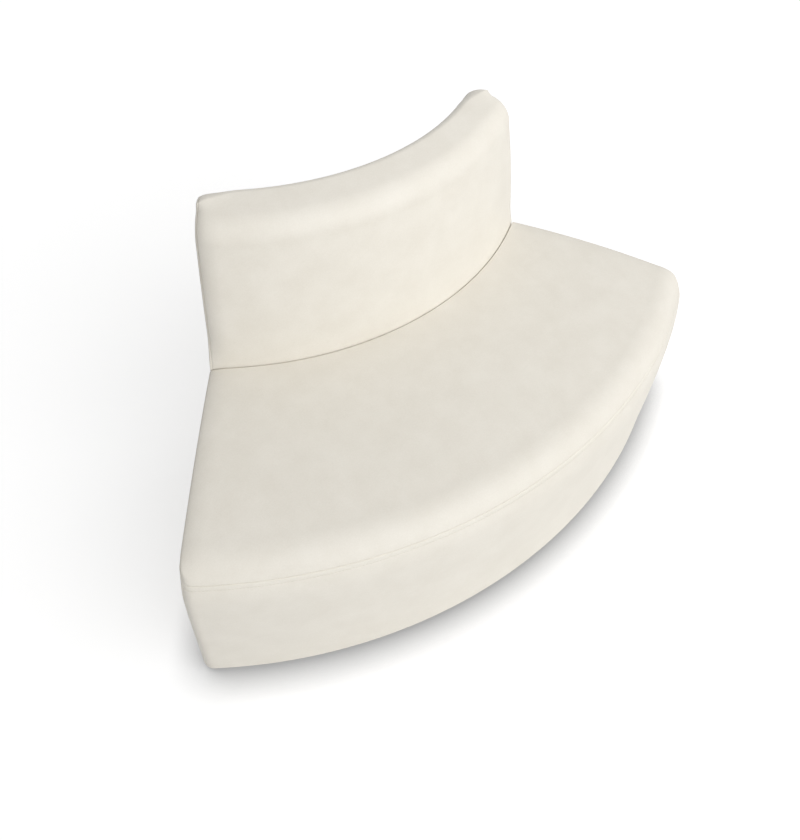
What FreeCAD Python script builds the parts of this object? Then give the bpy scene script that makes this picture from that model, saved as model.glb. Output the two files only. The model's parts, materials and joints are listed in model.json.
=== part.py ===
"""Curved modular sofa unit: an upholstered ring segment with a low rolled back.

Millimetres and degrees. +Z is up and the front faces -Y. The origin is on the floor, under the
middle of the overall box. All curved work shares one upright axis behind the unit: a place is
given by its radius from that axis, its height, and its distance inside an end plane.
"""
import FreeCAD, Part
import math
import os

V = FreeCAD.Vector

# Overall form
MODULE_ANGLE = 72.0
REAR_RADIUS = 569.0
BACK_DEPTH = 152.0
SEAT_DEPTH = 432.0
FLOOR_GAP = 14.0

# Seat form
SEAT_HEIGHT = 439.0
SEAT_CREASE_HEIGHT = 438.0
SEAT_FRONT_FALL = 27.0
SEAT_ROLL = 52.0
SEAM_HEIGHT = 353.0
SEAT_END_DROP = 20.0
FRONT_TUCK = 0.0

# Back form
BACK_HEIGHT = 801.0
BACK_RECLINE = 40.0
BACK_SWELL = 5.0
BACK_FRONT_ROLL = 58.0
BACK_REAR_ROLL = 28.0
BACK_REAR_SEAM = 44.0
BACK_TOP_RISE = 10.0
BACK_END_INSET = 5.0
BACK_END_DRAW = 12.0
END_REACH = 36.0
MIDDLE_STEPS = 6

# Layers
COVER = 1.2
HEM = 30.0
FRONT_PAD = 10.0
END_PAD = 10.0
BACK_FOAM = 35.0
BACK_TOP_FOAM = 60.0
DUST_SHEET = 0.6
DUST_OVERLAP = 15.0
CLEARANCE = 0.3
SEAT_GAP = 0.5
REAR_GAP = 0.5

# Plywood frame
PLY = 18.0
SKIN = 5.0
RAIL_WIDTH = 80.0
DECK_TOP = 340.0
RIB_ANGLE_STEP = 15.0
RIB_MARGIN = 55.0
VENT_RADIUS = 14.0
VENT_ROWS = 2
VENTS_PER_ROW = 6
VENT_ANGLE_STEP = 9.0
VENT_MARGIN = 108.0
VENT_ROW_STEP = 160.0

# Bolts that hold the back on the deck
BOLT_RADIUS = 4.0
BOLT_PLAY = 0.5
BOLT_HEAD_RADIUS = 7.5
BOLT_HEAD_HEIGHT = 5.3
BOLT_END = 6.0
BACK_BOLT_SETBACK = 56.0
BACK_BOLT_ANGLES = (-22.0, -7.5, 7.5, 22.0)
WASHER_RADIUS = 11.0
WASHER = 1.6

# Tee nuts
TEE_FLANGE_RADIUS = 11.5
TEE_FLANGE = 1.5
TEE_BARREL_RADIUS = 5.2
TEE_BARREL = 11.0
THREAD_PLAY = 0.1

# Levelling glides
GLIDE_RADIUS = 16.0
GLIDE_SOLE = 6.0
GLIDE_BEVEL = 2.0
GLIDE_NECK_RADIUS = 8.0
GLIDE_RAIL_PLACE = 45.0
GLIDE_FRONT_ANGLES = (-27.0, 0.0, 27.0)
GLIDE_REAR_ANGLES = (-20.0, 20.0)

# Link plates under the right end and their sockets under the left end
LINK_PLATE = 3.0
LINK_WIDTH = 30.0
LINK_END_DISTANCE = 60.0
LINK_MARGIN = 45.0

# Values that follow from the driving sizes
HALF = MODULE_ANGLE/2
CREASE_RADIUS = REAR_RADIUS + BACK_DEPTH
FRONT_RADIUS = CREASE_RADIUS + SEAT_DEPTH
AXIS_Y = (FRONT_RADIUS + REAR_RADIUS*math.cos(math.radians(HALF)))/2
BASE_Z = FLOOR_GAP + COVER
RAIL_TOP = BASE_Z + PLY
DECK_Z = DECK_TOP - PLY
BASE_END = COVER + END_PAD
FRONT_SKIN_OUT = FRONT_RADIUS - FRONT_TUCK - COVER - FRONT_PAD
FRONT_SKIN_IN = FRONT_SKIN_OUT - SKIN
REAR_SKIN_OUT = REAR_RADIUS + COVER + REAR_GAP
REAR_SKIN_IN = REAR_SKIN_OUT + SKIN
FRAME_FRONT = FRONT_SKIN_IN - CLEARANCE
FRAME_REAR = REAR_SKIN_IN + CLEARANCE
BACK_SEAM_HEIGHT = BACK_HEIGHT - BACK_REAR_SEAM
BACK_FRAME_TOP = BACK_HEIGHT - BACK_TOP_RISE - BACK_TOP_FOAM
BACK_END = BACK_END_INSET + COVER
BACK_FRAME_END = BACK_END + END_PAD
RECLINE_SLOPE = BACK_RECLINE/(BACK_HEIGHT - SEAT_CREASE_HEIGHT)
DUST_Z = FLOOR_GAP - DUST_SHEET
LINK_LENGTH = 2*LINK_END_DISTANCE
LINK_TOP = DUST_Z - CLEARANCE
LINK_INSET = RAIL_WIDTH + LINK_MARGIN
LINK_PLACES = {"front": (FRAME_FRONT - LINK_INSET, -1), "rear": (FRAME_REAR + LINK_INSET, 1)}


def spot(radius, height, angle, inside=0.0):
    """Point at a radius and height, a distance inside the upright plane through the axis at an angle."""
    side = 1 if angle >= 0 else -1
    along = math.sqrt(radius*radius - inside*inside)
    turn = math.radians(angle)
    x = along*math.sin(turn) - side*inside*math.cos(turn)
    y = AXIS_Y - along*math.cos(turn) - side*inside*math.sin(turn)
    return V(x, y, height)


def section_wire(segments, angle, inside=0.0):
    """Closed wire of lines (2 points) and arcs (3 points), each point given as radius and height."""
    edges = []
    for segment in segments:
        points = [spot(radius, height, angle, inside) for radius, height in segment]
        if len(points) == 2:
            edges.append(Part.LineSegment(*points).toShape())
        else:
            edges.append(Part.Arc(*points).toShape())
    return Part.Wire(edges)


def outline(*points):
    """Segments of a closed straight-sided section."""
    return [(points[i - 1], points[i]) for i in range(len(points))]


def sector(inner, outer, bottom, top, inside):
    """Flat curved board between two radii, its ends a distance inside both end planes."""
    left = [spot(radius, bottom, -HALF, inside) for radius in (inner, outer)]
    right = [spot(radius, bottom, HALF, inside) for radius in (inner, outer)]
    edges = [
        Part.Arc(left[0], spot(inner, bottom, 0), right[0]).toShape(),
        Part.LineSegment(right[0], right[1]).toShape(),
        Part.Arc(right[1], spot(outer, bottom, 0), left[1]).toShape(),
        Part.LineSegment(left[1], left[0]).toShape(),
    ]
    return Part.Face(Part.Wire(edges)).extrude(V(0, 0, top - bottom))


def turned(segments, inside):
    """Section turned about the axis through the whole module, its ends trimmed inside the end planes."""
    face = Part.Face(section_wire(segments, -HALF))
    ring = face.revolve(V(0, AXIS_Y, 0), V(0, 0, 1), MODULE_ANGLE)
    if inside == 0:
        return ring
    return ring.common(sector(REAR_RADIUS/2, 2*FRONT_RADIUS, 0, 2*BACK_HEIGHT, inside))


def loft(stations, section):
    """Smooth solid through the sections at stations of angle, distance inside and softening."""
    wires = [section_wire(section(soft), angle, inside) for angle, inside, soft in stations]
    return Part.makeLoft(wires, True, False)


def stations(first, softening, reach):
    """Stations from the left end to the right: close together where an end is drawn in."""
    ends = [(first, softening), (first + 0.3*reach, 0.5*softening), (first + reach, 0.12*softening)]
    step = HALF/MIDDLE_STEPS
    left = [(-HALF, inside, soft) for inside, soft in ends]
    middle = [(step*place, 0.0, 0.0) for place in range(1 - MIDDLE_STEPS, MIDDLE_STEPS)]
    right = [(HALF, inside, soft) for inside, soft in reversed(ends)]
    return left + middle + right


def end_plate(segments, side, inside, thickness):
    """Flat sheet or board of a section's outline, parallel to an end plane and inside it."""
    face = Part.Face(section_wire(segments, side*HALF, inside))
    turn = math.radians(HALF)
    return face.extrude(V(-side*math.cos(turn), -math.sin(turn), 0)*thickness)


def rod(radius, centre, bottom, top):
    """Upright cylinder."""
    return Part.makeCylinder(radius, top - bottom, V(centre.x, centre.y, bottom))


def radial_board(segments, angle):
    """Upright board of a section's outline, as thick as the plywood, centred on an angle."""
    face = Part.Face(section_wire(segments, angle))
    turn = math.radians(angle)
    across = V(math.cos(turn), math.sin(turn), 0)
    face.translate(across*(-PLY/2))
    return face.extrude(across*PLY)


def slot_section(inner, outer, bottom, top):
    """Round-ended opening that lightens a rib, between two radii and two heights."""
    radius = min(outer - inner, top - bottom)/2
    if outer - inner > top - bottom:
        middle = (bottom + top)/2
        return [((inner + radius, bottom), (outer - radius, bottom)),
                ((outer - radius, bottom), (outer, middle), (outer - radius, top)),
                ((outer - radius, top), (inner + radius, top)),
                ((inner + radius, top), (inner, middle), (inner + radius, bottom))]
    middle = (inner + outer)/2
    return [((outer, bottom + radius), (outer, top - radius)),
            ((outer, top - radius), (middle, top), (inner, top - radius)),
            ((inner, top - radius), (inner, bottom + radius)),
            ((inner, bottom + radius), (middle, bottom), (outer, bottom + radius))]


def seat_profile(soft, inset):
    """Seat top from the crease over the crown and the rolled edge to the seam, set in by a thickness."""
    roll_top = SEAT_HEIGHT - SEAT_FRONT_FALL - soft
    roll_start = FRONT_RADIUS - SEAT_ROLL
    slant = math.sqrt(0.5)
    crease = (CREASE_RADIUS + SEAT_GAP, SEAT_CREASE_HEIGHT - soft - inset)
    crown = ((CREASE_RADIUS + roll_start)/2, SEAT_HEIGHT - soft - inset)
    shoulder = (roll_start, roll_top - inset)
    roll = (roll_start + slant*SEAT_ROLL - slant*inset,
            SEAM_HEIGHT + slant*(roll_top - SEAM_HEIGHT) - slant*inset)
    seam = (FRONT_RADIUS - inset, SEAM_HEIGHT)
    return [(crease, crown, shoulder), (shoulder, roll, seam)]


def back_profile(soft, inset):
    """Back from the deck up the swelling front, over the rolled top and down to the rear seam."""
    front = CREASE_RADIUS - inset
    roll_start = BACK_HEIGHT - BACK_TOP_RISE - BACK_FRONT_ROLL - soft
    top = BACK_HEIGHT - BACK_TOP_RISE - soft - inset
    slant = math.sqrt(0.5)
    rise = roll_start - SEAT_CREASE_HEIGHT
    upper = CREASE_RADIUS - RECLINE_SLOPE*rise - soft
    foot = (front, DECK_TOP)
    crease = (front, SEAT_CREASE_HEIGHT)
    swell = ((front + upper - inset)/2 + BACK_SWELL, (crease[1] + roll_start)/2)
    shoulder = (upper - inset, roll_start)
    reach = BACK_FRONT_ROLL - inset
    roll = (upper - BACK_FRONT_ROLL + slant*reach, roll_start + slant*reach)
    edge = (upper - BACK_FRONT_ROLL, top)
    rear_roll = BACK_REAR_ROLL + soft
    rear_top = (REAR_RADIUS + rear_roll, BACK_HEIGHT - 1.5*soft - inset)
    crown = ((edge[0] + rear_top[0])/2, (edge[1] + rear_top[1])/2 + BACK_TOP_RISE/4)
    fall = rear_top[1] - BACK_SEAM_HEIGHT
    turn = (rear_top[0] - slant*(rear_roll - inset), BACK_SEAM_HEIGHT + slant*fall)
    seam = (REAR_RADIUS + inset, BACK_SEAM_HEIGHT)
    return [(foot, crease), (crease, swell, shoulder), (shoulder, roll, edge),
            (edge, crown, rear_top), (rear_top, turn, seam)]


def reverse(segments):
    """Same path, walked the other way."""
    return [tuple(reversed(segment)) for segment in reversed(segments)]


def skin_between(profile, soft):
    """Closed section of a cover as thick as the cover material, from its outer and inner paths."""
    outer = profile(soft, 0.0)
    inner = reverse(profile(soft, COVER))
    return outer + [(outer[-1][-1], inner[0][0])] + inner + [(inner[-1][-1], outer[0][0])]


def front_face(height, inset):
    """Radius of the leaning front at a height below the seam."""
    share = (SEAM_HEIGHT - height)/(SEAM_HEIGHT - FLOOR_GAP)
    return FRONT_RADIUS - FRONT_TUCK*share - inset


def frame_front(height, depth):
    """Radius inside the back's frame: the front skin follows the recline in one straight line."""
    lean = RECLINE_SLOPE*(height - DECK_TOP)
    return CREASE_RADIUS - COVER - CLEARANCE - BACK_FOAM - lean - depth


# Seat upholstery
SEAT_STATIONS = stations(0.0, SEAT_END_DROP, END_REACH)
SEAT_FOAM_STATIONS = stations(COVER, SEAT_END_DROP, END_REACH)
BACK_STATIONS = stations(BACK_END_INSET, BACK_END_DRAW, END_REACH)
BACK_FOAM_STATIONS = stations(BACK_END, BACK_END_DRAW, END_REACH)
UNDER_COVER = COVER + CLEARANCE


def seat_top_cover():
    return loft(SEAT_STATIONS, lambda soft: skin_between(seat_profile, soft))


def seat_foam():
    """Crowned seat block on the deck, its front edge rolled over the deck's edge."""
    def section(soft):
        top = seat_profile(soft, UNDER_COVER)
        rear = (CREASE_RADIUS + SEAT_GAP, DECK_TOP)
        toe = (front_face(DECK_TOP, UNDER_COVER), DECK_TOP)
        return top + [(top[-1][-1], toe), (toe, rear), (rear, top[0][0])]
    return loft(SEAT_FOAM_STATIONS, section)


def seat_front_cover():
    """Front band from the seam to the floor gap, its hem turned under the base."""
    low = FLOOR_GAP
    hem = front_face(low, HEM)
    return turned(outline((FRONT_RADIUS, SEAM_HEIGHT), (front_face(low, 0), low), (hem, low),
                          (hem, BASE_Z), (front_face(BASE_Z, COVER), BASE_Z),
                          (FRONT_RADIUS - COVER, SEAM_HEIGHT)), 0)


def seat_front_pad():
    """Thin foam between the front skin and the front cover."""
    return turned(outline((FRONT_SKIN_OUT + CLEARANCE, BASE_Z), (front_face(BASE_Z, UNDER_COVER), BASE_Z),
                          (front_face(DECK_TOP, UNDER_COVER), DECK_TOP),
                          (FRONT_SKIN_OUT + CLEARANCE, DECK_TOP)), COVER)


def seat_end_cover(side):
    """Flat boxed end under the seat's end profile, its hem turned under the base.

    Behind the seat its upper edge is folded over the end pad, where the back stands on it.
    """
    top = seat_profile(SEAT_END_DROP, UNDER_COVER)
    toe = (front_face(BASE_Z, UNDER_COVER), BASE_Z)
    heel = (REAR_SKIN_OUT, BASE_Z)
    rear = (REAR_SKIN_OUT, DECK_TOP)
    step = (CREASE_RADIUS + SEAT_GAP, DECK_TOP)
    hem_front = front_face(FLOOR_GAP, HEM) - CLEARANCE
    hem_rear = REAR_RADIUS + HEM + CLEARANCE
    path = top + [(top[-1][-1], toe), (toe, heel), (heel, rear), (rear, step), (step, top[0][0])]
    hem = outline((hem_rear, FLOOR_GAP), (hem_front, FLOOR_GAP), (hem_front, BASE_Z), (hem_rear, BASE_Z))
    fold_z = DECK_TOP - COVER
    fold = outline((REAR_SKIN_OUT, fold_z), (CREASE_RADIUS, fold_z), (CREASE_RADIUS, DECK_TOP), rear)
    cover = end_plate(path, side, 0.0, COVER)
    cover = cover.fuse(end_plate(hem, side, 0.0, HEM))
    return cover.fuse(end_plate(fold, side, 0.0, BASE_END)).removeSplitter()


def seat_end_pad(side):
    """Thin foam between an end panel and its cover."""
    return end_plate(outline((REAR_SKIN_OUT, BASE_Z), (FRONT_SKIN_OUT, BASE_Z),
                             (FRONT_SKIN_OUT, DECK_TOP - COVER), (REAR_SKIN_OUT, DECK_TOP - COVER)),
                     side, COVER, END_PAD)


def base_rear_cover():
    """Rear band of the base, its hem turned under the base."""
    low = FLOOR_GAP
    return turned(outline((REAR_RADIUS, low), (REAR_RADIUS + HEM, low), (REAR_RADIUS + HEM, BASE_Z),
                          (REAR_RADIUS + COVER, BASE_Z), (REAR_RADIUS + COVER, DECK_TOP),
                          (REAR_RADIUS, DECK_TOP)), 0)


# Base frame
def base_front_skin():
    return sector(FRONT_SKIN_IN, FRONT_SKIN_OUT, BASE_Z, DECK_TOP, BASE_END)


def base_rear_skin():
    return sector(REAR_SKIN_OUT, REAR_SKIN_IN, BASE_Z, DECK_TOP, BASE_END)


def tee_nut_hole(centre, bottom, top):
    return rod(TEE_BARREL_RADIUS + THREAD_PLAY, centre, bottom, top)


def front_glide_spots():
    return [spot(FRAME_FRONT - GLIDE_RAIL_PLACE, 0, angle) for angle in GLIDE_FRONT_ANGLES]


def rear_glide_spots():
    return [spot(FRAME_REAR + GLIDE_RAIL_PLACE, 0, angle) for angle in GLIDE_REAR_ANGLES]


def link_spots(side):
    return [spot(radius, 0, side*HALF, LINK_END_DISTANCE) for radius, way in LINK_PLACES.values()]


def rail_drilled(rail, centres):
    for centre in centres:
        rail = rail.cut(tee_nut_hole(centre, BASE_Z, RAIL_TOP))
    return rail


def base_front_rail():
    rail = sector(FRAME_FRONT - RAIL_WIDTH, FRAME_FRONT, BASE_Z, RAIL_TOP, BASE_END + PLY)
    return rail_drilled(rail, front_glide_spots())


def base_rear_rail():
    rail = sector(FRAME_REAR, FRAME_REAR + RAIL_WIDTH, BASE_Z, RAIL_TOP, BASE_END + PLY)
    return rail_drilled(rail, rear_glide_spots())


def base_end_rail(side):
    """Flat rail along an end panel, between the front and the rear rail."""
    inner = FRAME_REAR + RAIL_WIDTH + CLEARANCE
    outer = FRAME_FRONT - RAIL_WIDTH - CLEARANCE
    first = BASE_END + PLY
    last = first + RAIL_WIDTH
    middle = (first + last)/2
    corner = [spot(radius, BASE_Z, side*HALF, inside) for radius, inside in
              ((inner, first), (outer, first), (outer, last), (inner, last))]
    edges = [
        Part.LineSegment(corner[0], corner[1]).toShape(),
        Part.Arc(corner[1], spot(outer, BASE_Z, side*HALF, middle), corner[2]).toShape(),
        Part.LineSegment(corner[2], corner[3]).toShape(),
        Part.Arc(corner[3], spot(inner, BASE_Z, side*HALF, middle), corner[0]).toShape(),
    ]
    rail = Part.Face(Part.Wire(edges)).extrude(V(0, 0, PLY))
    return rail_drilled(rail, link_spots(side))


def base_end_panel(side):
    """Upright board behind an end pad, a little clear of the bent front skin."""
    front = FRAME_FRONT - CLEARANCE
    return end_plate(outline((FRAME_REAR, BASE_Z), (front, BASE_Z), (front, DECK_Z),
                             (FRAME_REAR, DECK_Z)), side, BASE_END, PLY)


def base_rib(angle):
    """Upright rib between the skins, standing on the rails, with one long lightening slot."""
    rib = radial_board(outline((FRAME_REAR + CLEARANCE, RAIL_TOP), (FRAME_FRONT - CLEARANCE, RAIL_TOP),
                               (FRAME_FRONT - CLEARANCE, DECK_Z), (FRAME_REAR + CLEARANCE, DECK_Z)), angle)
    slot = slot_section(FRAME_REAR + RIB_MARGIN, FRAME_FRONT - RIB_MARGIN,
                        RAIL_TOP + RIB_MARGIN, DECK_Z - RIB_MARGIN)
    return rib.cut(radial_board(slot, angle))


def back_bolt_spots():
    return [spot(REAR_RADIUS + BACK_BOLT_SETBACK, 0, angle) for angle in BACK_BOLT_ANGLES]


def seat_deck():
    """Curved deck on the ribs and end panels, with vents under the seat and holes for the back's bolts."""
    deck = sector(FRAME_REAR, FRAME_FRONT, DECK_Z, DECK_TOP, BASE_END)
    first = -VENT_ANGLE_STEP*(VENTS_PER_ROW - 1)/2
    for row in range(VENT_ROWS):
        for number in range(VENTS_PER_ROW):
            centre = spot(CREASE_RADIUS + VENT_MARGIN + row*VENT_ROW_STEP, 0, first + number*VENT_ANGLE_STEP)
            deck = deck.cut(rod(VENT_RADIUS, centre, DECK_Z, DECK_TOP))
    for centre in back_bolt_spots():
        deck = deck.cut(rod(BOLT_RADIUS + BOLT_PLAY, centre, DECK_Z, DECK_TOP))
    return deck


# Back
def back_front_cover():
    return loft(BACK_STATIONS, lambda soft: skin_between(back_profile, soft))


def back_foam():
    """Foam over the front skin and the top rail, down to the rear skin's top edge."""
    def section(soft):
        path = back_profile(soft, UNDER_COVER)
        rear = (REAR_SKIN_OUT, BACK_FRAME_TOP)
        corner = (frame_front(BACK_FRAME_TOP, -CLEARANCE), BACK_FRAME_TOP)
        root = (frame_front(DECK_TOP, -CLEARANCE), DECK_TOP)
        return path + [(path[-1][-1], rear), (rear, corner), (corner, root), (root, path[0][0])]
    return loft(BACK_FOAM_STATIONS, section)


def back_rear_cover():
    return turned(outline((REAR_RADIUS, DECK_TOP), (REAR_RADIUS + COVER, DECK_TOP),
                          (REAR_RADIUS + COVER, BACK_SEAM_HEIGHT),
                          (REAR_RADIUS, BACK_SEAM_HEIGHT)), BACK_END_INSET)


def back_end_cover(side):
    path = back_profile(BACK_END_DRAW, UNDER_COVER)
    heel = (REAR_SKIN_OUT, DECK_TOP)
    return end_plate(path + [(path[-1][-1], heel), (heel, path[0][0])], side, BACK_END_INSET, COVER)


def back_end_pad(side):
    """Thin foam between an end rib of the back and its cover."""
    return end_plate(outline((REAR_SKIN_OUT, DECK_TOP), (frame_front(DECK_TOP, 0), DECK_TOP),
                             (frame_front(BACK_FRAME_TOP, 0), BACK_FRAME_TOP),
                             (REAR_SKIN_OUT, BACK_FRAME_TOP)), side, BACK_END, END_PAD)


def back_front_skin():
    return turned(outline((frame_front(DECK_TOP, SKIN), DECK_TOP), (frame_front(DECK_TOP, 0), DECK_TOP),
                          (frame_front(BACK_FRAME_TOP, 0), BACK_FRAME_TOP),
                          (frame_front(BACK_FRAME_TOP, SKIN), BACK_FRAME_TOP)), BACK_FRAME_END)


def back_rear_skin():
    return sector(REAR_SKIN_OUT, REAR_SKIN_IN, DECK_TOP, BACK_FRAME_TOP, BACK_FRAME_END)


def back_rail(bottom):
    """Curved rail between the skins of the back."""
    front = frame_front(bottom + PLY, SKIN + CLEARANCE)
    return sector(FRAME_REAR, front, bottom, bottom + PLY, BACK_FRAME_END)


def back_bottom_rail():
    rail = back_rail(DECK_TOP)
    for centre in back_bolt_spots():
        rail = rail.cut(tee_nut_hole(centre, DECK_TOP, DECK_TOP + PLY))
    return rail


def back_top_rail():
    return back_rail(BACK_FRAME_TOP - PLY)


def back_rib_outline(margin):
    low = DECK_TOP + PLY
    high = BACK_FRAME_TOP - PLY
    inner = FRAME_REAR + margin
    return outline((inner, low), (frame_front(low, SKIN + CLEARANCE + margin), low),
                   (frame_front(high, SKIN + CLEARANCE + margin), high), (inner, high))


def back_rib(angle):
    """Upright rib between the rails of the back, with one tall lightening slot."""
    margin = RIB_MARGIN/2.5
    slot = slot_section(FRAME_REAR + margin, frame_front(BACK_FRAME_TOP, SKIN + margin),
                        DECK_TOP + PLY + RIB_MARGIN, BACK_FRAME_TOP - PLY - RIB_MARGIN)
    return radial_board(back_rib_outline(CLEARANCE), angle).cut(radial_board(slot, angle))


def back_end_rib(side):
    return end_plate(back_rib_outline(3*CLEARANCE), side, BACK_FRAME_END, PLY)


# Hardware
def tee_nut(centre, seat, way):
    """Flanged nut pressed into a board; way is +1 where the barrel goes up from its flange."""
    flange_end = seat - way*TEE_FLANGE
    barrel_end = seat + way*TEE_BARREL
    nut = rod(TEE_FLANGE_RADIUS, centre, min(seat, flange_end), max(seat, flange_end))
    nut = nut.fuse(rod(TEE_BARREL_RADIUS, centre, min(seat, barrel_end), max(seat, barrel_end)))
    bore = rod(BOLT_RADIUS + THREAD_PLAY, centre, min(flange_end, barrel_end), max(flange_end, barrel_end))
    return nut.cut(bore).removeSplitter()


def hexagon_head(centre, bottom, top):
    corners = [V(centre.x + BOLT_HEAD_RADIUS*math.cos(math.radians(60*i)),
                 centre.y + BOLT_HEAD_RADIUS*math.sin(math.radians(60*i)), bottom) for i in range(7)]
    return Part.Face(Part.makePolygon(corners)).extrude(V(0, 0, top - bottom))


def back_bolt(centre):
    """Hexagon bolt up through the deck and the back's bottom rail."""
    seat = DECK_Z - WASHER
    head = hexagon_head(centre, seat - BOLT_HEAD_HEIGHT, seat)
    return head.fuse(rod(BOLT_RADIUS, centre, seat, DECK_TOP + PLY + BOLT_END)).removeSplitter()


def washer(centre):
    ring = rod(WASHER_RADIUS, centre, DECK_Z - WASHER, DECK_Z)
    return ring.cut(rod(BOLT_RADIUS + BOLT_PLAY, centre, DECK_Z - WASHER, DECK_Z))


def glide(centre):
    """Levelling glide: bevelled sole, neck and threaded stem, screwed fully in."""
    neck_top = BASE_Z - TEE_FLANGE - CLEARANCE
    stem_top = RAIL_TOP
    profile = [(0, 0), (GLIDE_RADIUS - GLIDE_BEVEL, 0), (GLIDE_RADIUS, GLIDE_BEVEL), (GLIDE_RADIUS, GLIDE_SOLE),
               (GLIDE_NECK_RADIUS, neck_top), (BOLT_RADIUS, neck_top), (BOLT_RADIUS, stem_top), (0, stem_top)]
    points = [V(centre.x + radius, centre.y, height) for radius, height in profile]
    face = Part.Face(Part.makePolygon(points + points[:1]))
    return face.revolve(V(centre.x, centre.y, 0), V(0, 0, 1), 360)


def link_plate(name):
    """Flat round-ended steel link on its pivot, lying along the right end rail."""
    radius, way = LINK_PLACES[name]
    pivot = spot(radius, LINK_TOP - LINK_PLATE, HALF, LINK_END_DISTANCE)
    turn = math.radians(HALF)
    along = V(math.sin(turn), -math.cos(turn), 0)*way
    across = V(-along.y, along.x, 0)*(LINK_WIDTH/2)
    tip = pivot + along*LINK_LENGTH
    bulge = along*(LINK_WIDTH/2)
    edges = [
        Part.LineSegment(pivot + across, tip + across).toShape(),
        Part.Arc(tip + across, tip + bulge, tip - across).toShape(),
        Part.LineSegment(tip - across, pivot - across).toShape(),
        Part.Arc(pivot - across, pivot - bulge, pivot + across).toShape(),
    ]
    plate = Part.Face(Part.Wire(edges)).extrude(V(0, 0, LINK_PLATE))
    for hole in (pivot, tip):
        plate = plate.cut(rod(BOLT_RADIUS + BOLT_PLAY, hole, LINK_TOP - LINK_PLATE, LINK_TOP))
    return plate


def link_pivot(centre):
    """Bolt that a link plate swings on, screwed up into its tee nut."""
    seat = LINK_TOP - LINK_PLATE - CLEARANCE
    head = hexagon_head(centre, seat - BOLT_HEAD_HEIGHT, seat)
    return head.fuse(rod(BOLT_RADIUS, centre, seat, RAIL_TOP)).removeSplitter()


def dust_sheet():
    """Thin sheet under the base over the hems, cut out round the glides and the link bolts."""
    lap = HEM - DUST_OVERLAP
    sheet = sector(REAR_RADIUS + lap, front_face(FLOOR_GAP, lap), DUST_Z, FLOOR_GAP, lap)
    centres = front_glide_spots() + rear_glide_spots() + link_spots(1) + link_spots(-1)
    for centre in centres:
        sheet = sheet.cut(rod(TEE_FLANGE_RADIUS + DUST_OVERLAP/5, centre, DUST_Z, FLOOR_GAP))
    return sheet


SIDES = {"left": -1, "right": 1}
RIB_ANGLES = {"left": -RIB_ANGLE_STEP, "centre": 0.0, "right": RIB_ANGLE_STEP}


def build():
    """Every node's name with its shape."""
    nodes = {
        "base_front_rail": base_front_rail(), "base_rear_rail": base_rear_rail(),
        "base_front_skin": base_front_skin(), "base_rear_skin": base_rear_skin(),
        "seat_deck": seat_deck(), "seat_foam": seat_foam(), "seat_front_pad": seat_front_pad(),
        "seat_top_cover": seat_top_cover(), "seat_front_cover": seat_front_cover(),
        "base_rear_cover": base_rear_cover(), "dust_sheet": dust_sheet(),
        "back_bottom_rail": back_bottom_rail(), "back_top_rail": back_top_rail(),
        "back_front_skin": back_front_skin(), "back_rear_skin": back_rear_skin(),
        "back_foam": back_foam(), "back_front_cover": back_front_cover(),
        "back_rear_cover": back_rear_cover(),
    }
    for name, side in SIDES.items():
        nodes["base_end_rail_" + name] = base_end_rail(side)
        nodes["base_end_panel_" + name] = base_end_panel(side)
        nodes["seat_end_pad_" + name] = seat_end_pad(side)
        nodes["seat_end_cover_" + name] = seat_end_cover(side)
        nodes["back_end_rib_" + name] = back_end_rib(side)
        nodes["back_end_pad_" + name] = back_end_pad(side)
        nodes["back_end_cover_" + name] = back_end_cover(side)
    for name, angle in RIB_ANGLES.items():
        nodes["base_rib_" + name] = base_rib(angle)
        nodes["back_rib_" + name] = back_rib(angle)
    for name, centre in zip(("front_left", "front_centre", "front_right"), front_glide_spots()):
        nodes["glide_" + name] = glide(centre)
    for name, centre in zip(("rear_left", "rear_right"), rear_glide_spots()):
        nodes["glide_" + name] = glide(centre)
    for name in LINK_PLACES:
        nodes["link_plate_" + name] = link_plate(name)
    rail_nuts = front_glide_spots() + rear_glide_spots()
    nodes["glide_tee_nuts"] = Part.makeCompound([tee_nut(centre, BASE_Z, 1) for centre in rail_nuts])
    nodes["link_tee_nuts"] = Part.makeCompound([tee_nut(centre, BASE_Z, 1)
                                                for centre in link_spots(1) + link_spots(-1)])
    nodes["link_pivots"] = Part.makeCompound([link_pivot(centre) for centre in link_spots(1)])
    nodes["back_bolts"] = Part.makeCompound([back_bolt(centre) for centre in back_bolt_spots()])
    nodes["back_washers"] = Part.makeCompound([washer(centre) for centre in back_bolt_spots()])
    nodes["back_tee_nuts"] = Part.makeCompound([tee_nut(centre, DECK_TOP + PLY, -1)
                                                for centre in back_bolt_spots()])
    return nodes


os.makedirs("parts", exist_ok=True)
for node_name, shape in build().items():
    shape.exportStep("parts/" + node_name + ".step")
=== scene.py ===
import json
import math

import bmesh
import bpy
from bpy.props import FloatProperty, FloatVectorProperty, PointerProperty
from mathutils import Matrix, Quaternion, Vector, geometry, noise

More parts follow.
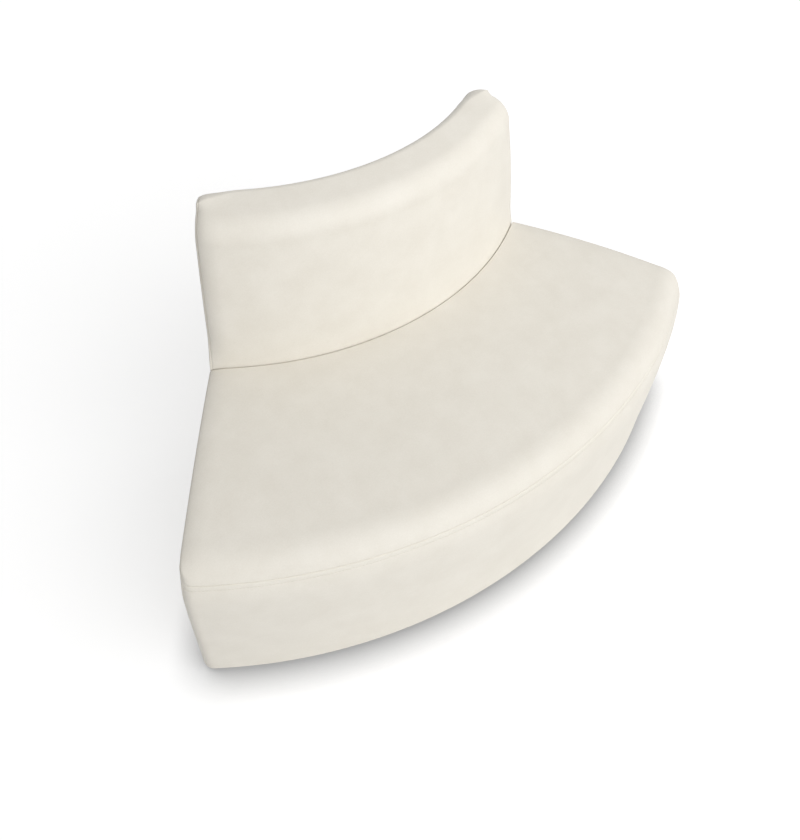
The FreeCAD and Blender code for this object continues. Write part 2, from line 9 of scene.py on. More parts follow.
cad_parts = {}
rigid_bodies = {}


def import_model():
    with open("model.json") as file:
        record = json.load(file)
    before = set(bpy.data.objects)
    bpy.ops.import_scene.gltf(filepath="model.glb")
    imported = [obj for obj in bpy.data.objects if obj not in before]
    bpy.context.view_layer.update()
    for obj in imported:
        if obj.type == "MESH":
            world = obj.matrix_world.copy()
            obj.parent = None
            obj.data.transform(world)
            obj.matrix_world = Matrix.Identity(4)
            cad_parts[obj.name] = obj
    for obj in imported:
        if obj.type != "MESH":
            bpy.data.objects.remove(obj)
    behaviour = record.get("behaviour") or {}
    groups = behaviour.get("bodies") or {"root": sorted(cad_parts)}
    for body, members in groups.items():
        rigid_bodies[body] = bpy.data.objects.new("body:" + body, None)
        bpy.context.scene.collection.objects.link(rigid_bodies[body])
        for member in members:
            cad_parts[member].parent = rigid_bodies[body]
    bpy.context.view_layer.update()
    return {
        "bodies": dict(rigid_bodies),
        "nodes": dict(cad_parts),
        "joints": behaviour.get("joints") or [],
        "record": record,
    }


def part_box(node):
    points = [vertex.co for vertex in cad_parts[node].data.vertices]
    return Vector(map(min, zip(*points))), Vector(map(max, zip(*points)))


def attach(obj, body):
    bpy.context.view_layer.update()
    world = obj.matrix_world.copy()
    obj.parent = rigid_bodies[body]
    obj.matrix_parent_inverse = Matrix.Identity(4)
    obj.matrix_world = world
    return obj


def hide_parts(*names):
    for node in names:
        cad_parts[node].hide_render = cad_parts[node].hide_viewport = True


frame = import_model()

bl_info = {
    "name": "Curved sofa unit",
    "version": (1, 0, 0),
    "blender": (4, 5, 0),
    "location": "View3D > Sidebar > Sofa unit",
    "description": "Upholsters the frame of a curved modular sofa unit and sets it in a pale studio",
    "category": "Object",
}

# The frame: all curved work shares one upright axis behind the unit, where both end planes meet.
MOUNTS = {mount["name"]: mount for mount in frame["record"]["mounts"]}
END_PLACE = MOUNTS["right_end"]["pos_m"]
END_NORMAL = MOUNTS["right_end"]["axis"]
HALF = math.atan2(END_NORMAL[1], END_NORMAL[0])
AXIS_Y = END_PLACE[1] + END_NORMAL[0]*END_PLACE[0]/END_NORMAL[1]


def radii(node):
    """Least and greatest distance of a node's points from the axis of the curve."""
    reach = [math.hypot(v.co.x, v.co.y - AXIS_Y) for v in frame["nodes"][node].data.vertices]
    return min(reach), max(reach)


def depth_inside(node):
    """Least distance of a node's points inside the right end plane."""
    return min((END_PLACE[0] - v.co.x)*END_NORMAL[0] + (END_PLACE[1] - v.co.y)*END_NORMAL[1]
               for v in frame["nodes"][node].data.vertices)


FRONT_R = radii("seat_front_cover")[1]
TOE_R = radii("dust_sheet")[1] + 0.015
REAR_R = radii("base_rear_cover")[0]
CREASE_R = radii("seat_foam")[0]
FLOOR_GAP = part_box("seat_front_cover")[0].z
SEAM_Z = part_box("seat_front_cover")[1].z + 0.005
DECK_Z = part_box("seat_deck")[1].z
SEAT_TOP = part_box("seat_top_cover")[1].z
CREASE_Z = SEAT_TOP - 0.002
BACK_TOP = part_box("back_front_cover")[1].z + 0.002
BACK_SEAM_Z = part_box("back_rear_cover")[1].z
BACK_END = depth_inside("back_end_cover_right") - 0.004
SIDES = {"left": -1, "right": 1}

# Layers, edges and mesh columns that the pieces share.
SEAT_COLUMNS = 58
BAND_COLUMNS = 56
BACK_COLUMNS = 46
REAR_COLUMNS = 36
CLOTH_STEPS = 20
FAN_OUT = (0.06, 0.24)
CREASE_LINES = (0.0006, 0.0018, 0.0036, 0.006, 0.0085, 0.013)
CREASE_REACH = 0.020
LEAN = (-0.05, 0.30)
CORNER_FADE = (0.004, 0.034)
END_FALL_REACH = 0.10
END_TUCK_REACH = 0.08
REAR_DRAW = 0.45
BACK_FOOT = 0.012
FOOT_DRAW = 0.06
INSIDE = 0.014
FLAT_LIP = 0.4
COVER = 0.0012
PAD = 0.008
PAD_EDGE = 0.007
HEM_LINES = (0.018, 0.030)
BOTTOM_TURN = 0.005
REAR_HEM_LINES = (0.016, 0.030)
SHEET_HOLE = 0.0145
SHEET_SAG = 0.003
SAG_REACH = (0.10, 0.22)
STAPLE_MARGIN = 0.007


class SeatForm(bpy.types.PropertyGroup):
    """Sizes of the padded seat."""
    crown: FloatProperty(name="Crown", description="Swell of the seat between crease and front",
                         default=0.008, unit="LENGTH")
    front_fall: FloatProperty(name="Front fall", description="Drop of the seat's top where the front roll starts",
                              default=0.040, unit="LENGTH")
    roll: FloatProperty(name="Front roll", description="Depth of the rolled front edge behind the seam",
                        default=0.066, unit="LENGTH")
    roll_knee: FloatProperty(name="Roll knee", description="Share of the roll's depth where its curve is pulled to",
                             default=0.72, subtype="FACTOR")
    roll_lift: FloatProperty(name="Roll lift", description="Share of the roll's height where its curve is pulled to",
                             default=0.873, subtype="FACTOR")
    seam_set: FloatProperty(name="Seam set", description="Distance of the front seam behind the front face",
                            default=0.012, unit="LENGTH")
    band_round: FloatProperty(name="Band rounding", description="Height over which the front band turns upright",
                              default=0.050, unit="LENGTH")
    end_round: FloatProperty(name="End rounding", description="Reach of the rounded edge along each end",
                             default=0.042, unit="LENGTH")
    end_drop: FloatProperty(name="End drop", description="Height of the rounded edge along each end",
                            default=0.011, unit="LENGTH")
    end_fall: FloatProperty(name="End fall", description="Wider fall of the padding towards each end",
                            default=0.001, unit="LENGTH")
    corner: FloatProperty(name="Corner radius", description="Rounding of the upright front corners",
                          default=0.026, unit="LENGTH")
    crease_curl: FloatProperty(name="Crease curl", description="Rounding where the seat dips to the back",
                               default=0.002, unit="LENGTH")
    front_bulge: FloatProperty(name="Front bulge", description="Lean of the padded front over its height",
                               default=0.018, unit="LENGTH")


class BackForm(bpy.types.PropertyGroup):
    """Sizes of the padded back."""
    recline: FloatProperty(name="Recline", description="Lean of the back over its height above the seat",
                           default=0.040, unit="LENGTH")
    swell: FloatProperty(name="Swell", description="Swell of the back's front face", default=0.005, unit="LENGTH")
    front_roll: FloatProperty(name="Front roll", description="Radius of the turn from front to top",
                              default=0.058, unit="LENGTH")
    front_turn: FloatProperty(name="Front turn", description="How far the front roll turns before the top goes on",
                              default=math.radians(75), subtype="ANGLE")
    rear_roll: FloatProperty(name="Rear roll", description="Depth of the turn from top to rear",
                             default=0.028, unit="LENGTH")
    rise: FloatProperty(name="Top rise", description="Rise of the top towards the rear", default=0.010, unit="LENGTH")
    end_round: FloatProperty(name="End rounding", description="Reach of the rounded edge along each end",
                             default=0.045, unit="LENGTH")
    end_draw: FloatProperty(name="End draw", description="Depth of the rounded edge along each end",
                            default=0.023, unit="LENGTH")
    end_tuck: FloatProperty(name="End tuck", description="Wider fall of the rear towards each end",
                            default=0.020, unit="LENGTH")
    seam_inset: FloatProperty(name="Seam inset", description="Distance of the end seam from the end face",
                              default=0.005, unit="LENGTH")


class Sewing(bpy.types.PropertyGroup):
    """Sizes of the seams and stitches."""
    seam_depth: FloatProperty(name="Seam depth", description="Depth of a sewn seam", default=0.0015, unit="LENGTH")
    seam_width: FloatProperty(name="Seam width", description="Width of a seam's rounded lip",
                              default=0.0030, unit="LENGTH")
    stitch_drop: FloatProperty(name="Stitch drop", description="Distance of the topstitch row under the front seam",
                               default=0.009, unit="LENGTH")
    stitch_pitch: FloatProperty(name="Stitch pitch", description="Distance between stitches",
                                default=0.0065, unit="LENGTH")
    stitch_length: FloatProperty(name="Stitch length", description="Length of one stitch",
                                 default=0.0046, unit="LENGTH")
    thread: FloatProperty(name="Thread", description="Radius of the sewing thread", default=0.0005, unit="LENGTH")
    staple_pitch: FloatProperty(name="Staple pitch", description="Distance between the staples of the dust sheet",
                                default=0.045, unit="LENGTH")
    staple_length: FloatProperty(name="Staple length", description="Length of one staple's back",
                                 default=0.0105, unit="LENGTH")
    staple_wire: FloatProperty(name="Staple wire", description="Radius of the staples' wire",
                               default=0.0005, unit="LENGTH")


class Finish(bpy.types.PropertyGroup):
    """Colours of the materials."""
    leather: FloatVectorProperty(name="Leather", description="Colour of the coated cloth",
                                 default=(0.803, 0.769, 0.696), size=3, subtype="COLOR", min=0, max=1)
    leather_cloud: FloatVectorProperty(name="Leather cloud", description="Deeper tone of the cloth's mottling",
                                       default=(0.757, 0.720, 0.643), size=3, subtype="COLOR", min=0, max=1)
    thread: FloatVectorProperty(name="Thread", description="Colour of the sewing thread",
                                default=(0.700, 0.662, 0.585), size=3, subtype="COLOR", min=0, max=1)
    birch: FloatVectorProperty(name="Birch", description="Colour of the plywood",
                               default=(0.560, 0.380, 0.200), size=3, subtype="COLOR", min=0, max=1)
    zinc: FloatVectorProperty(name="Zinc", description="Colour of the plated steel",
                              default=(0.600, 0.610, 0.620), size=3, subtype="COLOR", min=0, max=1)
    nylon: FloatVectorProperty(name="Nylon", description="Colour of the glides",
                               default=(0.022, 0.022, 0.023), size=3, subtype="COLOR", min=0, max=1)
    dust: FloatVectorProperty(name="Dust sheet", description="Colour of the non-woven sheet below",
                              default=(0.020, 0.020, 0.022), size=3, subtype="COLOR", min=0, max=1)


class Studio(bpy.types.PropertyGroup):
    """The camera and the light."""
    azimuth: FloatProperty(name="Azimuth", description="Camera's turn from the front",
                           default=math.radians(-41.239), subtype="ANGLE")
    elevation: FloatProperty(name="Elevation", description="Camera's height above the horizon",
                             default=math.radians(41.634), subtype="ANGLE")
    distance: FloatProperty(name="Distance", description="Camera's distance from its aim",
                            default=2.1760, unit="LENGTH")
    aim: FloatVectorProperty(name="Aim", description="Point that the camera looks at",
                             default=(0.1991, 0.2345, 0.440), size=3, subtype="XYZ")
    roll: FloatProperty(name="Roll", description="Camera's tilt about its own line of sight",
                        default=math.radians(4.141), subtype="ANGLE")
    lens: FloatProperty(name="Lens", description="Focal length in millimetres", default=38.560, unit="CAMERA")
    shift: FloatVectorProperty(name="Shift", description="Sideways and upright shift of the picture", size=2,
                               default=(-0.0486, -0.2024))
    ambient: FloatProperty(name="Ambient", description="Strength of the light from all round",
                           default=0.50, subtype="FACTOR")
    side_share: FloatProperty(name="Side share", description="How much more of that light comes from the right",
                              default=0.20, subtype="FACTOR")
    key: FloatProperty(name="Key", description="Strength of the soft light from the front", default=1.84)
    key_azimuth: FloatProperty(name="Key azimuth", description="Key light's turn from the front",
                               default=math.radians(10.0), subtype="ANGLE")
    key_elevation: FloatProperty(name="Key elevation", description="Key light's height above the horizon",
                                 default=math.radians(31.0), subtype="ANGLE")
    key_spread: FloatProperty(name="Key spread", description="Width of the key light in the sky",
                              default=math.radians(65.0), subtype="ANGLE")
    side: FloatProperty(name="Side", description="Power of the lamp above the right end", default=5.2,
                        subtype="POWER")
    side_size: FloatProperty(name="Side size", description="Width of the lamp above the right end",
                             default=1.4, unit="LENGTH")
    side_place: FloatVectorProperty(name="Side place", description="Place of the lamp above the right end",
                                    default=(1.6, -0.2, 2.4), size=3, subtype="XYZ")
    side_aim: FloatVectorProperty(name="Side aim", description="Point that the lamp above the right end lights",
                                  default=(0.3, 0.0, 0.45), size=3, subtype="XYZ")
    floor_reach: FloatProperty(name="Floor reach", description="Half the width of the floor",
                               default=9.0, unit="LENGTH")
    # Reach of the floor's painted contact shadow: within it, ambient occlusion darkens the floor's colour and glow
    # beyond its real shadow from the lamps.
    painted_shadow_reach: FloatProperty(name="Contact reach", description="Reach of the dark line under the unit's edge",
                                 default=0.08, unit="LENGTH")


# Shapes
def ease(value, low, high):
    """0 below low, 1 above high and smooth between."""
    share = min(1.0, max(0.0, (value - low)/(high - low)))
    return share*share*(3 - 2*share)


def quarter(share):
    """Rounded edge: 1 at the edge itself, falling like a quarter circle to 0 at a share of 1."""
    share = min(1.0, max(0.0, share))
    return 1 - math.sqrt(1 - (1 - share)**2)


def rounded(under, inside, radius):
    """Moves a place near an upright corner onto its rounding; under and inside are its depths behind both faces."""
    if under >= radius or inside >= radius:
        return under, inside
    front = radius - under
    end = radius - inside
    scale = max(front, end)/math.hypot(front, end)
    return radius - front*scale, radius - end*scale


def place(side, inside, radius, height, middle=None):
    """Point inside one end plane. Places near it run parallel to it; with a middle radius, those further in fan out."""
    turn = math.asin(inside/radius)
    if middle:
        fan = ease(inside, *FAN_OUT)
        turn = (1 - fan)*turn + fan*inside/middle
    angle = side*(HALF - turn)
    return Vector((radius*math.sin(angle), AXIS_Y - radius*math.cos(angle), height))


def graded(first, last, count, growth=2.2):
    """Distances from first to last, close together at first and wider apart towards last."""
    spread = math.exp(growth) - 1
    return [first + (last - first)*(math.exp(growth*i/count) - 1)/spread for i in range(count + 1)]


def both_sides(half):
    """Columns from the left end to the right, from those of one half: side and the half's own values."""
    return [(-1, *column) for column in half] + [(1, *column) for column in reversed(half[:-1])]


def lips(sewing):
    """Depth and distance from the seam line of a panel's sewn edge, from the seam outwards."""
    return [(sewing.seam_depth, 0.0002), (0.36*sewing.seam_depth, 0.45*sewing.seam_width), (0.0, sewing.seam_width)]


def normals_2d(path):
    """Unit normals along an open path of (radius, height) points, on the left of the way it runs."""
    found = []
    for i in range(len(path)):
        a = path[max(0, i - 1)]
        b = path[min(len(path) - 1, i + 1)]
        run = math.hypot(b[0] - a[0], b[1] - a[1]) or 1.0
        found.append((-(b[1] - a[1])/run, (b[0] - a[0])/run))
    return found


def mesh_piece(name, points, faces, level=1):
    """Smooth mesh object with its faces turned outwards and a subdivision on it."""
    mesh = bpy.data.meshes.new(name)
    mesh.from_pydata(points, [], faces)
    shape = bmesh.new()
    shape.from_mesh(mesh)
    bmesh.ops.recalc_face_normals(shape, faces=shape.faces)
    shape.to_mesh(mesh)
    shape.free()
    mesh.polygons.foreach_set("use_smooth", [True]*len(mesh.polygons))
    piece = bpy.data.objects.new(name, mesh)
    bpy.context.scene.collection.objects.link(piece)
    if level:
        smooth = piece.modifiers.new("Subdivision", "SUBSURF")
        smooth.levels = level
        smooth.render_levels = level
    return piece


def shell(outer, inner):
    """Points and faces of a closed shell between two grids of the same shape."""
    rows = len(outer)
    across = len(outer[0])
    points = [p for grid in (outer, inner) for row in grid for p in row]
    faces = []
    for layer in (0, rows*across):
        for i in range(rows - 1):
            for j in range(across - 1):
                a = layer + i*across + j
                faces.append((a, a + 1, a + across + 1, a + across))
    rim = list(range(across)) + [i*across + across - 1 for i in range(1, rows)]
    rim += [(rows - 1)*across + j for j in range(across - 2, -1, -1)] + [i*across for i in range(rows - 2, 0, -1)]
    for a, b in zip(rim, rim[1:] + rim[:1]):
        faces.append((a, b, b + rows*across, a + rows*across))
    return points, faces


def dish(outer, inner, hearts):
    """Points and faces of a closed shell between two sets of rings, each ring going round a heart point."""
    points = []
    faces = []
    count = len(outer[0])
    for rings, heart in zip((outer, inner), hearts):
        first = len(points)
        for ring in rings:
            points += ring
        for i in range(len(rings) - 1):
            for j in range(count):
                a = first + i*count + j
                b = first + i*count + (j + 1) % count
                faces.append((a, b, b + count, a + count))
        last = first + (len(rings) - 1)*count
        points.append(heart)
        faces += [(last + j, last + (j + 1) % count, len(points) - 1) for j in range(count)]
    start = len(outer)*count + 1
    faces += [(j, (j + 1) % count, start + (j + 1) % count, start + j) for j in range(count)]
    return points, faces


def joined(*solids):
    """Points and faces of several solids as one."""
    points = []
    faces = []
    for some_points, some_faces in solids:
        first = len(points)
        points += some_points
        faces += [tuple(first + i for i in face) for face in some_faces]
    return points, faces


def held_weights(outer, front, first):
    """Weights that hold a cushion's seams and its inside while its middle is free to swell.
    Front weighs the lines near the front seam, and first is the lowest line that may move."""
    columns = len(outer)
    rows = len(outer[0])
    held = []
    for i in range(columns):
        for j in range(rows):
            edge = min(i - 2, columns - 3 - i, front*(rows - 3 - j), 1.2*(j - first))
            held.append(1.0 - ease(edge, 1, 13))
    return held + [1.0]*(columns*rows)


def inflate(piece, held, cap=0.004, pressure=4.0):
    """Puffs a padded piece with cloth under pressure. Held weights keep the seams, and no point moves past the cap."""
    group = piece.vertex_groups.new(name="held")
    for index, weight in enumerate(held):
        group.add([index], weight, "REPLACE")
    cloth = piece.modifiers.new("Cloth", "CLOTH")
    piece.modifiers.move(len(piece.modifiers) - 1, 0)
    settings = cloth.settings
    settings.vertex_group_mass = "held"
    settings.quality = 6
    settings.mass = 0.4
    settings.tension_stiffness = 60
    settings.compression_stiffness = 60
    settings.shear_stiffness = 30
    settings.bending_stiffness = 8
    settings.use_pressure = True
    settings.uniform_pressure_force = pressure
    settings.effector_weights.gravity = 0
    subdivision = [m for m in piece.modifiers if m.type == "SUBSURF"]
    for modifier in subdivision:
        modifier.show_viewport = False
    scene = bpy.context.scene
    for step in range(1, CLOTH_STEPS + 1):
        scene.frame_set(step)
    puffed = piece.evaluated_get(bpy.context.evaluated_depsgraph_get()).data
    for vertex, moved in zip(piece.data.vertices, puffed.vertices):
        shift = moved.co - vertex.co
        if shift.length > cap:
            shift *= cap/shift.length
        vertex.co += shift
    piece.modifiers.remove(cloth)
    piece.vertex_groups.remove(group)
    for modifier in subdivision:
        modifier.show_viewport = True
    scene.frame_set(1)


# Seat
def front_radius(height, form):
    """Radius of the padded front under the seam."""
    lean = TOE_R + (FRONT_R - TOE_R)*(height - FLOOR_GAP)/(SEAM_Z - FLOOR_GAP)
    return lean + form.front_bulge*ease(height - FLOOR_GAP, *LEAN)


def band_inset(drop, form):
    """How far the front band lies behind its face at a drop under the seam, where it turns upright."""
    return form.seam_set*(1 - min(1.0, max(0.0, drop/form.band_round)))**2


def corner_radius(height, form):
    """Rounding of the upright front corners, which dies out over the front roll."""
    return form.corner*(1 - ease(height - SEAM_Z, *CORNER_FADE))


def shoulder(form):
    """Radius where the seat's top turns into its front roll."""
    return FRONT_R + form.front_bulge - form.seam_set - form.roll


def seat_height(radius, inside, form):
    """Height of the seat's crowned top, before its front roll."""
    share = min(1.0, max(0.0, (radius - CREASE_R)/(shoulder(form) - CREASE_R)))
    low = CREASE_Z + (SEAT_TOP - form.front_fall - CREASE_Z)*share
    fall = form.end_drop*quarter(inside/form.end_round) + form.end_fall*(1 - ease(inside, 0, END_FALL_REACH))
    return low + 4*share*(1 - share)*form.crown - fall


def seat_rows(form, sewing):
    """Radius, share of the height over the seam, and drop of each line across the seat, from crease to front."""
    rows = [(CREASE_R - 0.0003, 1.0, form.crease_curl + 0.003)]
    for run in CREASE_LINES:
        rows.append((CREASE_R + run, 1.0, form.crease_curl*quarter(run/form.crease_curl)))
    start = CREASE_R + CREASE_REACH
    turn = shoulder(form)
    top_lines = 24
    roll_lines = 18
    rows += [(start + (turn - start)*i/top_lines, 1.0, 0.0) for i in range(top_lines)]
    for i in range(roll_lines + 1):
        along = i/roll_lines
        bend = 2*along*(1 - along)
        rows.append((turn + form.roll*(form.roll_knee*bend + along**2), (1 - along)**2 + form.roll_lift*bend, 0.0))
    for depth, distance in reversed(lips(sewing)[:-1]):
        rows.append((turn + form.roll - depth, 0.0, sewing.seam_width - distance))
    return rows


def seat_profile(inside, form, sewing):
    """Radius and height of the seat's lines at a distance inside an end plane."""
    seam = SEAM_Z + sewing.seam_width
    return [(radius, seam + (seat_height(radius, inside, form) - seam)*share - drop)
            for radius, share, drop in seat_rows(form, sewing)]


def seat_cushion(form, sewing):
    """Grids of the seat's outside and of its underside on the deck."""
    middle = 0.5*(CREASE_R + FRONT_R)
    half = [(0.0, depth, sewing.seam_width - distance) for depth, distance in lips(sewing)[:-1]]
    half += [(run, run, 0.0) for run in graded(0.0, HALF*middle, SEAT_COLUMNS)]
    outer = []
    under = []
    for side, run, inside, drop in both_sides(half):
        path = seat_profile(run, form, sewing)
        across = normals_2d(path)
        line = []
        low = []
        for (radius, height), normal in zip(path, across):
            sunk, set_in = rounded(normal[0]*drop, inside, corner_radius(height, form))
            line.append(place(side, set_in, radius - sunk, height - normal[1]*drop, middle))
            foot = min(max(radius, CREASE_R + 0.002), FRONT_R - INSIDE)
            low.append(place(side, max(inside, INSIDE), foot, DECK_Z + 0.0005, middle))
        outer.append(line)
        under.append(low)
    return outer, under


def front_path(form, sewing):
    """Inset and height of the front band's lines, outside and inside, from the seam down and under to the hem."""
    lip = lips(sewing)
    outside = [(depth + band_inset(distance, form), SEAM_Z - distance) for depth, distance in lip]
    groove = ((-0.0026, 0.0), (-0.0011, 0.00025), (0.0, 0.0007), (0.0011, 0.00025), (0.0026, 0.0))
    for drop, dent in groove:
        below = sewing.stitch_drop + drop
        outside.append((dent + band_inset(below, form), SEAM_Z - below))
    top = outside[-1][1] - 0.004
    bottom = FLOOR_GAP + BOTTOM_TURN
    for i in range(33):
        height = top + (bottom - top)*(i/32)**1.4
        outside.append((band_inset(SEAM_Z - height, form), height))
    for i in range(1, 6):
        turn = math.radians(90*i/5)
        outside.append((BOTTOM_TURN*(1 - math.cos(turn)), bottom - BOTTOM_TURN*math.sin(turn)))
    inside = [(inset + PAD, max(height - 0.0005, FLOOR_GAP + COVER)) for inset, height in outside]
    for hem in HEM_LINES:
        outside.append((hem, FLOOR_GAP))
        inside.append((hem, FLOOR_GAP + COVER))
    return outside, inside


def front_place(side, run, inset, height, form):
    """Point on or under the front band, round the corners where it comes near an end."""
    hem = inset if inset >= HEM_LINES[0] and height < FLOOR_GAP + 2*COVER else 0.0
    face = band_inset(SEAM_Z - height, form)
    sunk, set_in = rounded(inset - face, max(run, hem), form.corner)
    return place(side, set_in, front_radius(height, form) - face - sunk, height, FRONT_R)


def front_band(form, sewing):
    """Grids of the front band's outside and inside."""
    half = [(distance, depth) for depth, distance in lips(sewing)]
    half += [(run, 0.0) for run in graded(2*sewing.seam_width, HALF*FRONT_R, BAND_COLUMNS)]
    outside, inside = front_path(form, sewing)
    grids = []
    for path, extra in ((outside, 0.0), (inside, 0.006)):
        grids.append([[front_place(side, max(run, extra), inset + depth, height, form) for inset, height in path]
                      for side, run, depth in both_sides(half)])
    return grids


def front_surface(level, roll, form):
    """Radius of the seat's front at a height: the band under the seam and the roll over it."""
    if level <= SEAM_Z:
        return front_radius(level, form) - band_inset(SEAM_Z - level, form)
    for (near, high), (far, low) in zip(roll, roll[1:]):
        if high >= level > low:
            return near + (far - near)*(high - level)/(high - low)
    return roll[0][0] if level > roll[0][1] else roll[-1][0]


def end_outline(top, form, lap):
    """Outline of the seat's end as radius, height and way inwards, from the crease over the front and back round.
    Where no other panel is sewn on, it stands out by the lap that the seams take up."""
    low = FLOOR_GAP - lap
    rear = REAR_R - lap
    deck = DECK_Z + lap
    near = 0.012
    crease = CREASE_R - lap
    front = top[5:]
    for i in range(19):
        height = SEAM_Z + (FLOOR_GAP + 0.6*near - SEAM_Z)*(i/18)**1.6
        front.append((front_radius(height, form) - band_inset(SEAM_Z - height, form), height))
    toe = front_radius(FLOOR_GAP, form)
    path = [(crease, top[4][1], 1.0, -1.0)]
    path += [(radius, height, -n[0], -n[1]) for (radius, height), n in zip(front, normals_2d(front))]
    path.append((toe, low, -1.0, 1.0))
    path += [(toe - near + (rear + 2*near - toe)*i/15, low, 0.0, 1.0) for i in range(16)]
    path.append((rear, low, 1.0, 1.0))
    path += [(rear, low + near + (deck - low - 2*near)*i/10, 1.0, 0.0) for i in range(11)]
    path.append((rear, deck, 1.0, -1.0))
    path += [(rear + near + (crease - rear - 2*near)*i/6, deck, 0.0, -1.0) for i in range(7)]
    path.append((crease, deck, 1.0, -1.0))
    path += [(crease, deck + near + (top[4][1] - deck - 2*near)*i/3, 1.0, 0.0) for i in range(4)]
    return path


def end_rings(side, outline, roll, steps, centre, form):
    """Rings of points from an end's outline inwards; each step gives offset, depth and share of the way inside."""
    rings = []
    for offset, depth, share in steps:
        ring = []
        for radius, height, across, up in outline:
            at = radius + across*offset
            level = height + up*offset
            at += (centre[0] - at)*share
            level += (centre[1] - level)*share
            face = front_surface(level, roll, form)
            sunk, set_in = rounded(max(0.0, face - at), depth, corner_radius(level, form))
            ring.append(place(side, set_in, face - sunk if at < face else at - sunk, level))
        rings.append(ring)
    return rings


def seat_end(side, form, sewing):
    """Boxed end of the seat with its hem turned under the base."""
    top = seat_profile(0.0, form, sewing)[:-2]
    roll = [spot for spot in top if spot[0] > shoulder(form) - 1e-6]
    outline = end_outline(top, form, sewing.seam_width)
    centre = (0.5*(CREASE_R + FRONT_R), 0.5*(FLOOR_GAP + SEAM_Z))
    width = sewing.seam_width
    steps = [(width + distance, depth, 0.0) for depth, distance in lips(sewing)]
    steps += [(2*width, 0.0, share) for share in (0.02, 0.05, 0.12, 0.28, 0.5, 0.75)]
    outer = end_rings(side, outline, roll, steps, centre, form)
    inner = end_rings(side, outline, roll, [(PAD, PAD_EDGE, 0.0), (PAD, PAD_EDGE, 0.5)], centre, form)
    hem = []
    for level in (FLOOR_GAP, FLOOR_GAP + COVER):
        hem.append([[place(side, inside, radius, level) for inside in (PAD_EDGE, *HEM_LINES)]
                    for radius in [REAR_R + PAD + (TOE_R - REAR_R - 2*PAD)*i/20 for i in range(21)]])
    hearts = [place(side, depth, *centre) for depth in (0.0, PAD_EDGE)]
    return joined(dish(outer, inner, hearts), shell(*hem))


# Back
def back_softening(inside, form):
    """How far the back's front, top and rear are drawn in at a distance inside the end plane."""
    run = inside - BACK_END
    edge = form.end_draw*quarter(run/form.end_round)
    corner = 0.5*form.end_draw*quarter(2*run/form.end_round)
    return edge, corner, REAR_DRAW*edge + form.end_tuck*(1 - ease(run, 0, END_TUCK_REACH))


def back_path(inside, form):
    """Radius and height of the back's lines: up the front, over the rolled top and down to the rear seam."""
    pull, sink, draw = back_softening(inside, form)
    crease = CREASE_Z
    slope = form.recline/(BACK_TOP - crease)
    roll_z = BACK_TOP - form.rise - form.front_roll - sink
    face = CREASE_R - 0.0006
    upper = face - slope*(roll_z - crease) - pull
    foot = crease - BACK_FOOT
    path = [(face - pull*FOOT_DRAW, DECK_Z + 0.002 + (foot - DECK_Z)*i/3) for i in range(3)]
    for i in range(25):
        share = i/24
        drawn = pull*(FOOT_DRAW + (1 - FOOT_DRAW)*ease(share, 0, 0.30))
        lean = face - drawn - slope*(roll_z - crease)*share
        path.append((lean + 4*share*(1 - share)*form.swell, foot + (roll_z - foot)*share))
    for i in range(1, 15):
        turn = form.front_turn*i/14
        path.append((upper - form.front_roll*(1 - math.cos(turn)), roll_z + form.front_roll*math.sin(turn)))
    front = path[-1]
    rear = min(REAR_R + form.rear_roll + draw, front[0] - 0.008)
    top = BACK_TOP - sink
    knee = max(front[0] - (top - front[1])*math.tan(form.front_turn), rear + 0.002)
    for i in range(1, 8):
        share = i/7
        bend = 2*share*(1 - share)
        path.append((front[0]*(1 - share)**2 + knee*bend + rear*share**2,
                     front[1]*(1 - share)**2 + top*(bend + share**2)))
    fall = top - BACK_SEAM_Z
    for i in range(1, 10):
        turn = math.radians(90*i/9)
        path.append((rear - (rear - REAR_R)*math.sin(turn), BACK_SEAM_Z + fall*math.cos(turn)))
    return path


def pressed(path, depth):
    """Lines of the back moved by a seam's depth."""
    return [(radius + n[0]*depth, height - n[1]*depth) for (radius, height), n in zip(path, normals_2d(path))]


def back_cushion(form, sewing):
    """Grids of the back's front and top panel and of its inside against the frame."""
    middle = 0.5*(REAR_R + CREASE_R)
    seam = BACK_END + form.seam_inset
    half = [(seam + distance, FLAT_LIP*depth) for depth, distance in lips(sewing)]
    half += [(run, 0.0) for run in graded(seam + 2*sewing.seam_width, HALF*middle, BACK_COLUMNS)]
    skin = radii("back_front_skin")
    over = skin[1] + 0.55*(skin[0] - skin[1])
    frame_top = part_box("back_top_rail")[1].z
    bend = 34
    outer = []
    inner = []
    for side, inside, depth in both_sides(half):
        path = back_path(inside, form)
        path = path[:-1] + [(path[-1][0], path[-1][1] + sewing.seam_width)]
        line = [place(side, inside, radius, height, middle) for radius, height in pressed(path, depth)]
        for lip_depth, distance in reversed(lips(sewing)[:-1]):
            line.append(place(side, inside, path[-1][0] + lip_depth + depth, BACK_SEAM_Z + distance, middle))
        last = len(line) - 1
        deep = max(inside, BACK_END + INSIDE)
        within = []
        for j in range(last + 1):
            if j <= bend:
                radius = skin[1] + 0.001 + (over - skin[1])*j/bend
                height = DECK_Z + 0.001 + (frame_top - DECK_Z)*j/bend
            else:
                radius = over + (REAR_R + PAD - over)*(j - bend)/(last - bend)
                height = frame_top + 0.001
            within.append(place(side, deep, radius, height, middle))
        outer.append(line)
        inner.append(within)
    return outer, inner


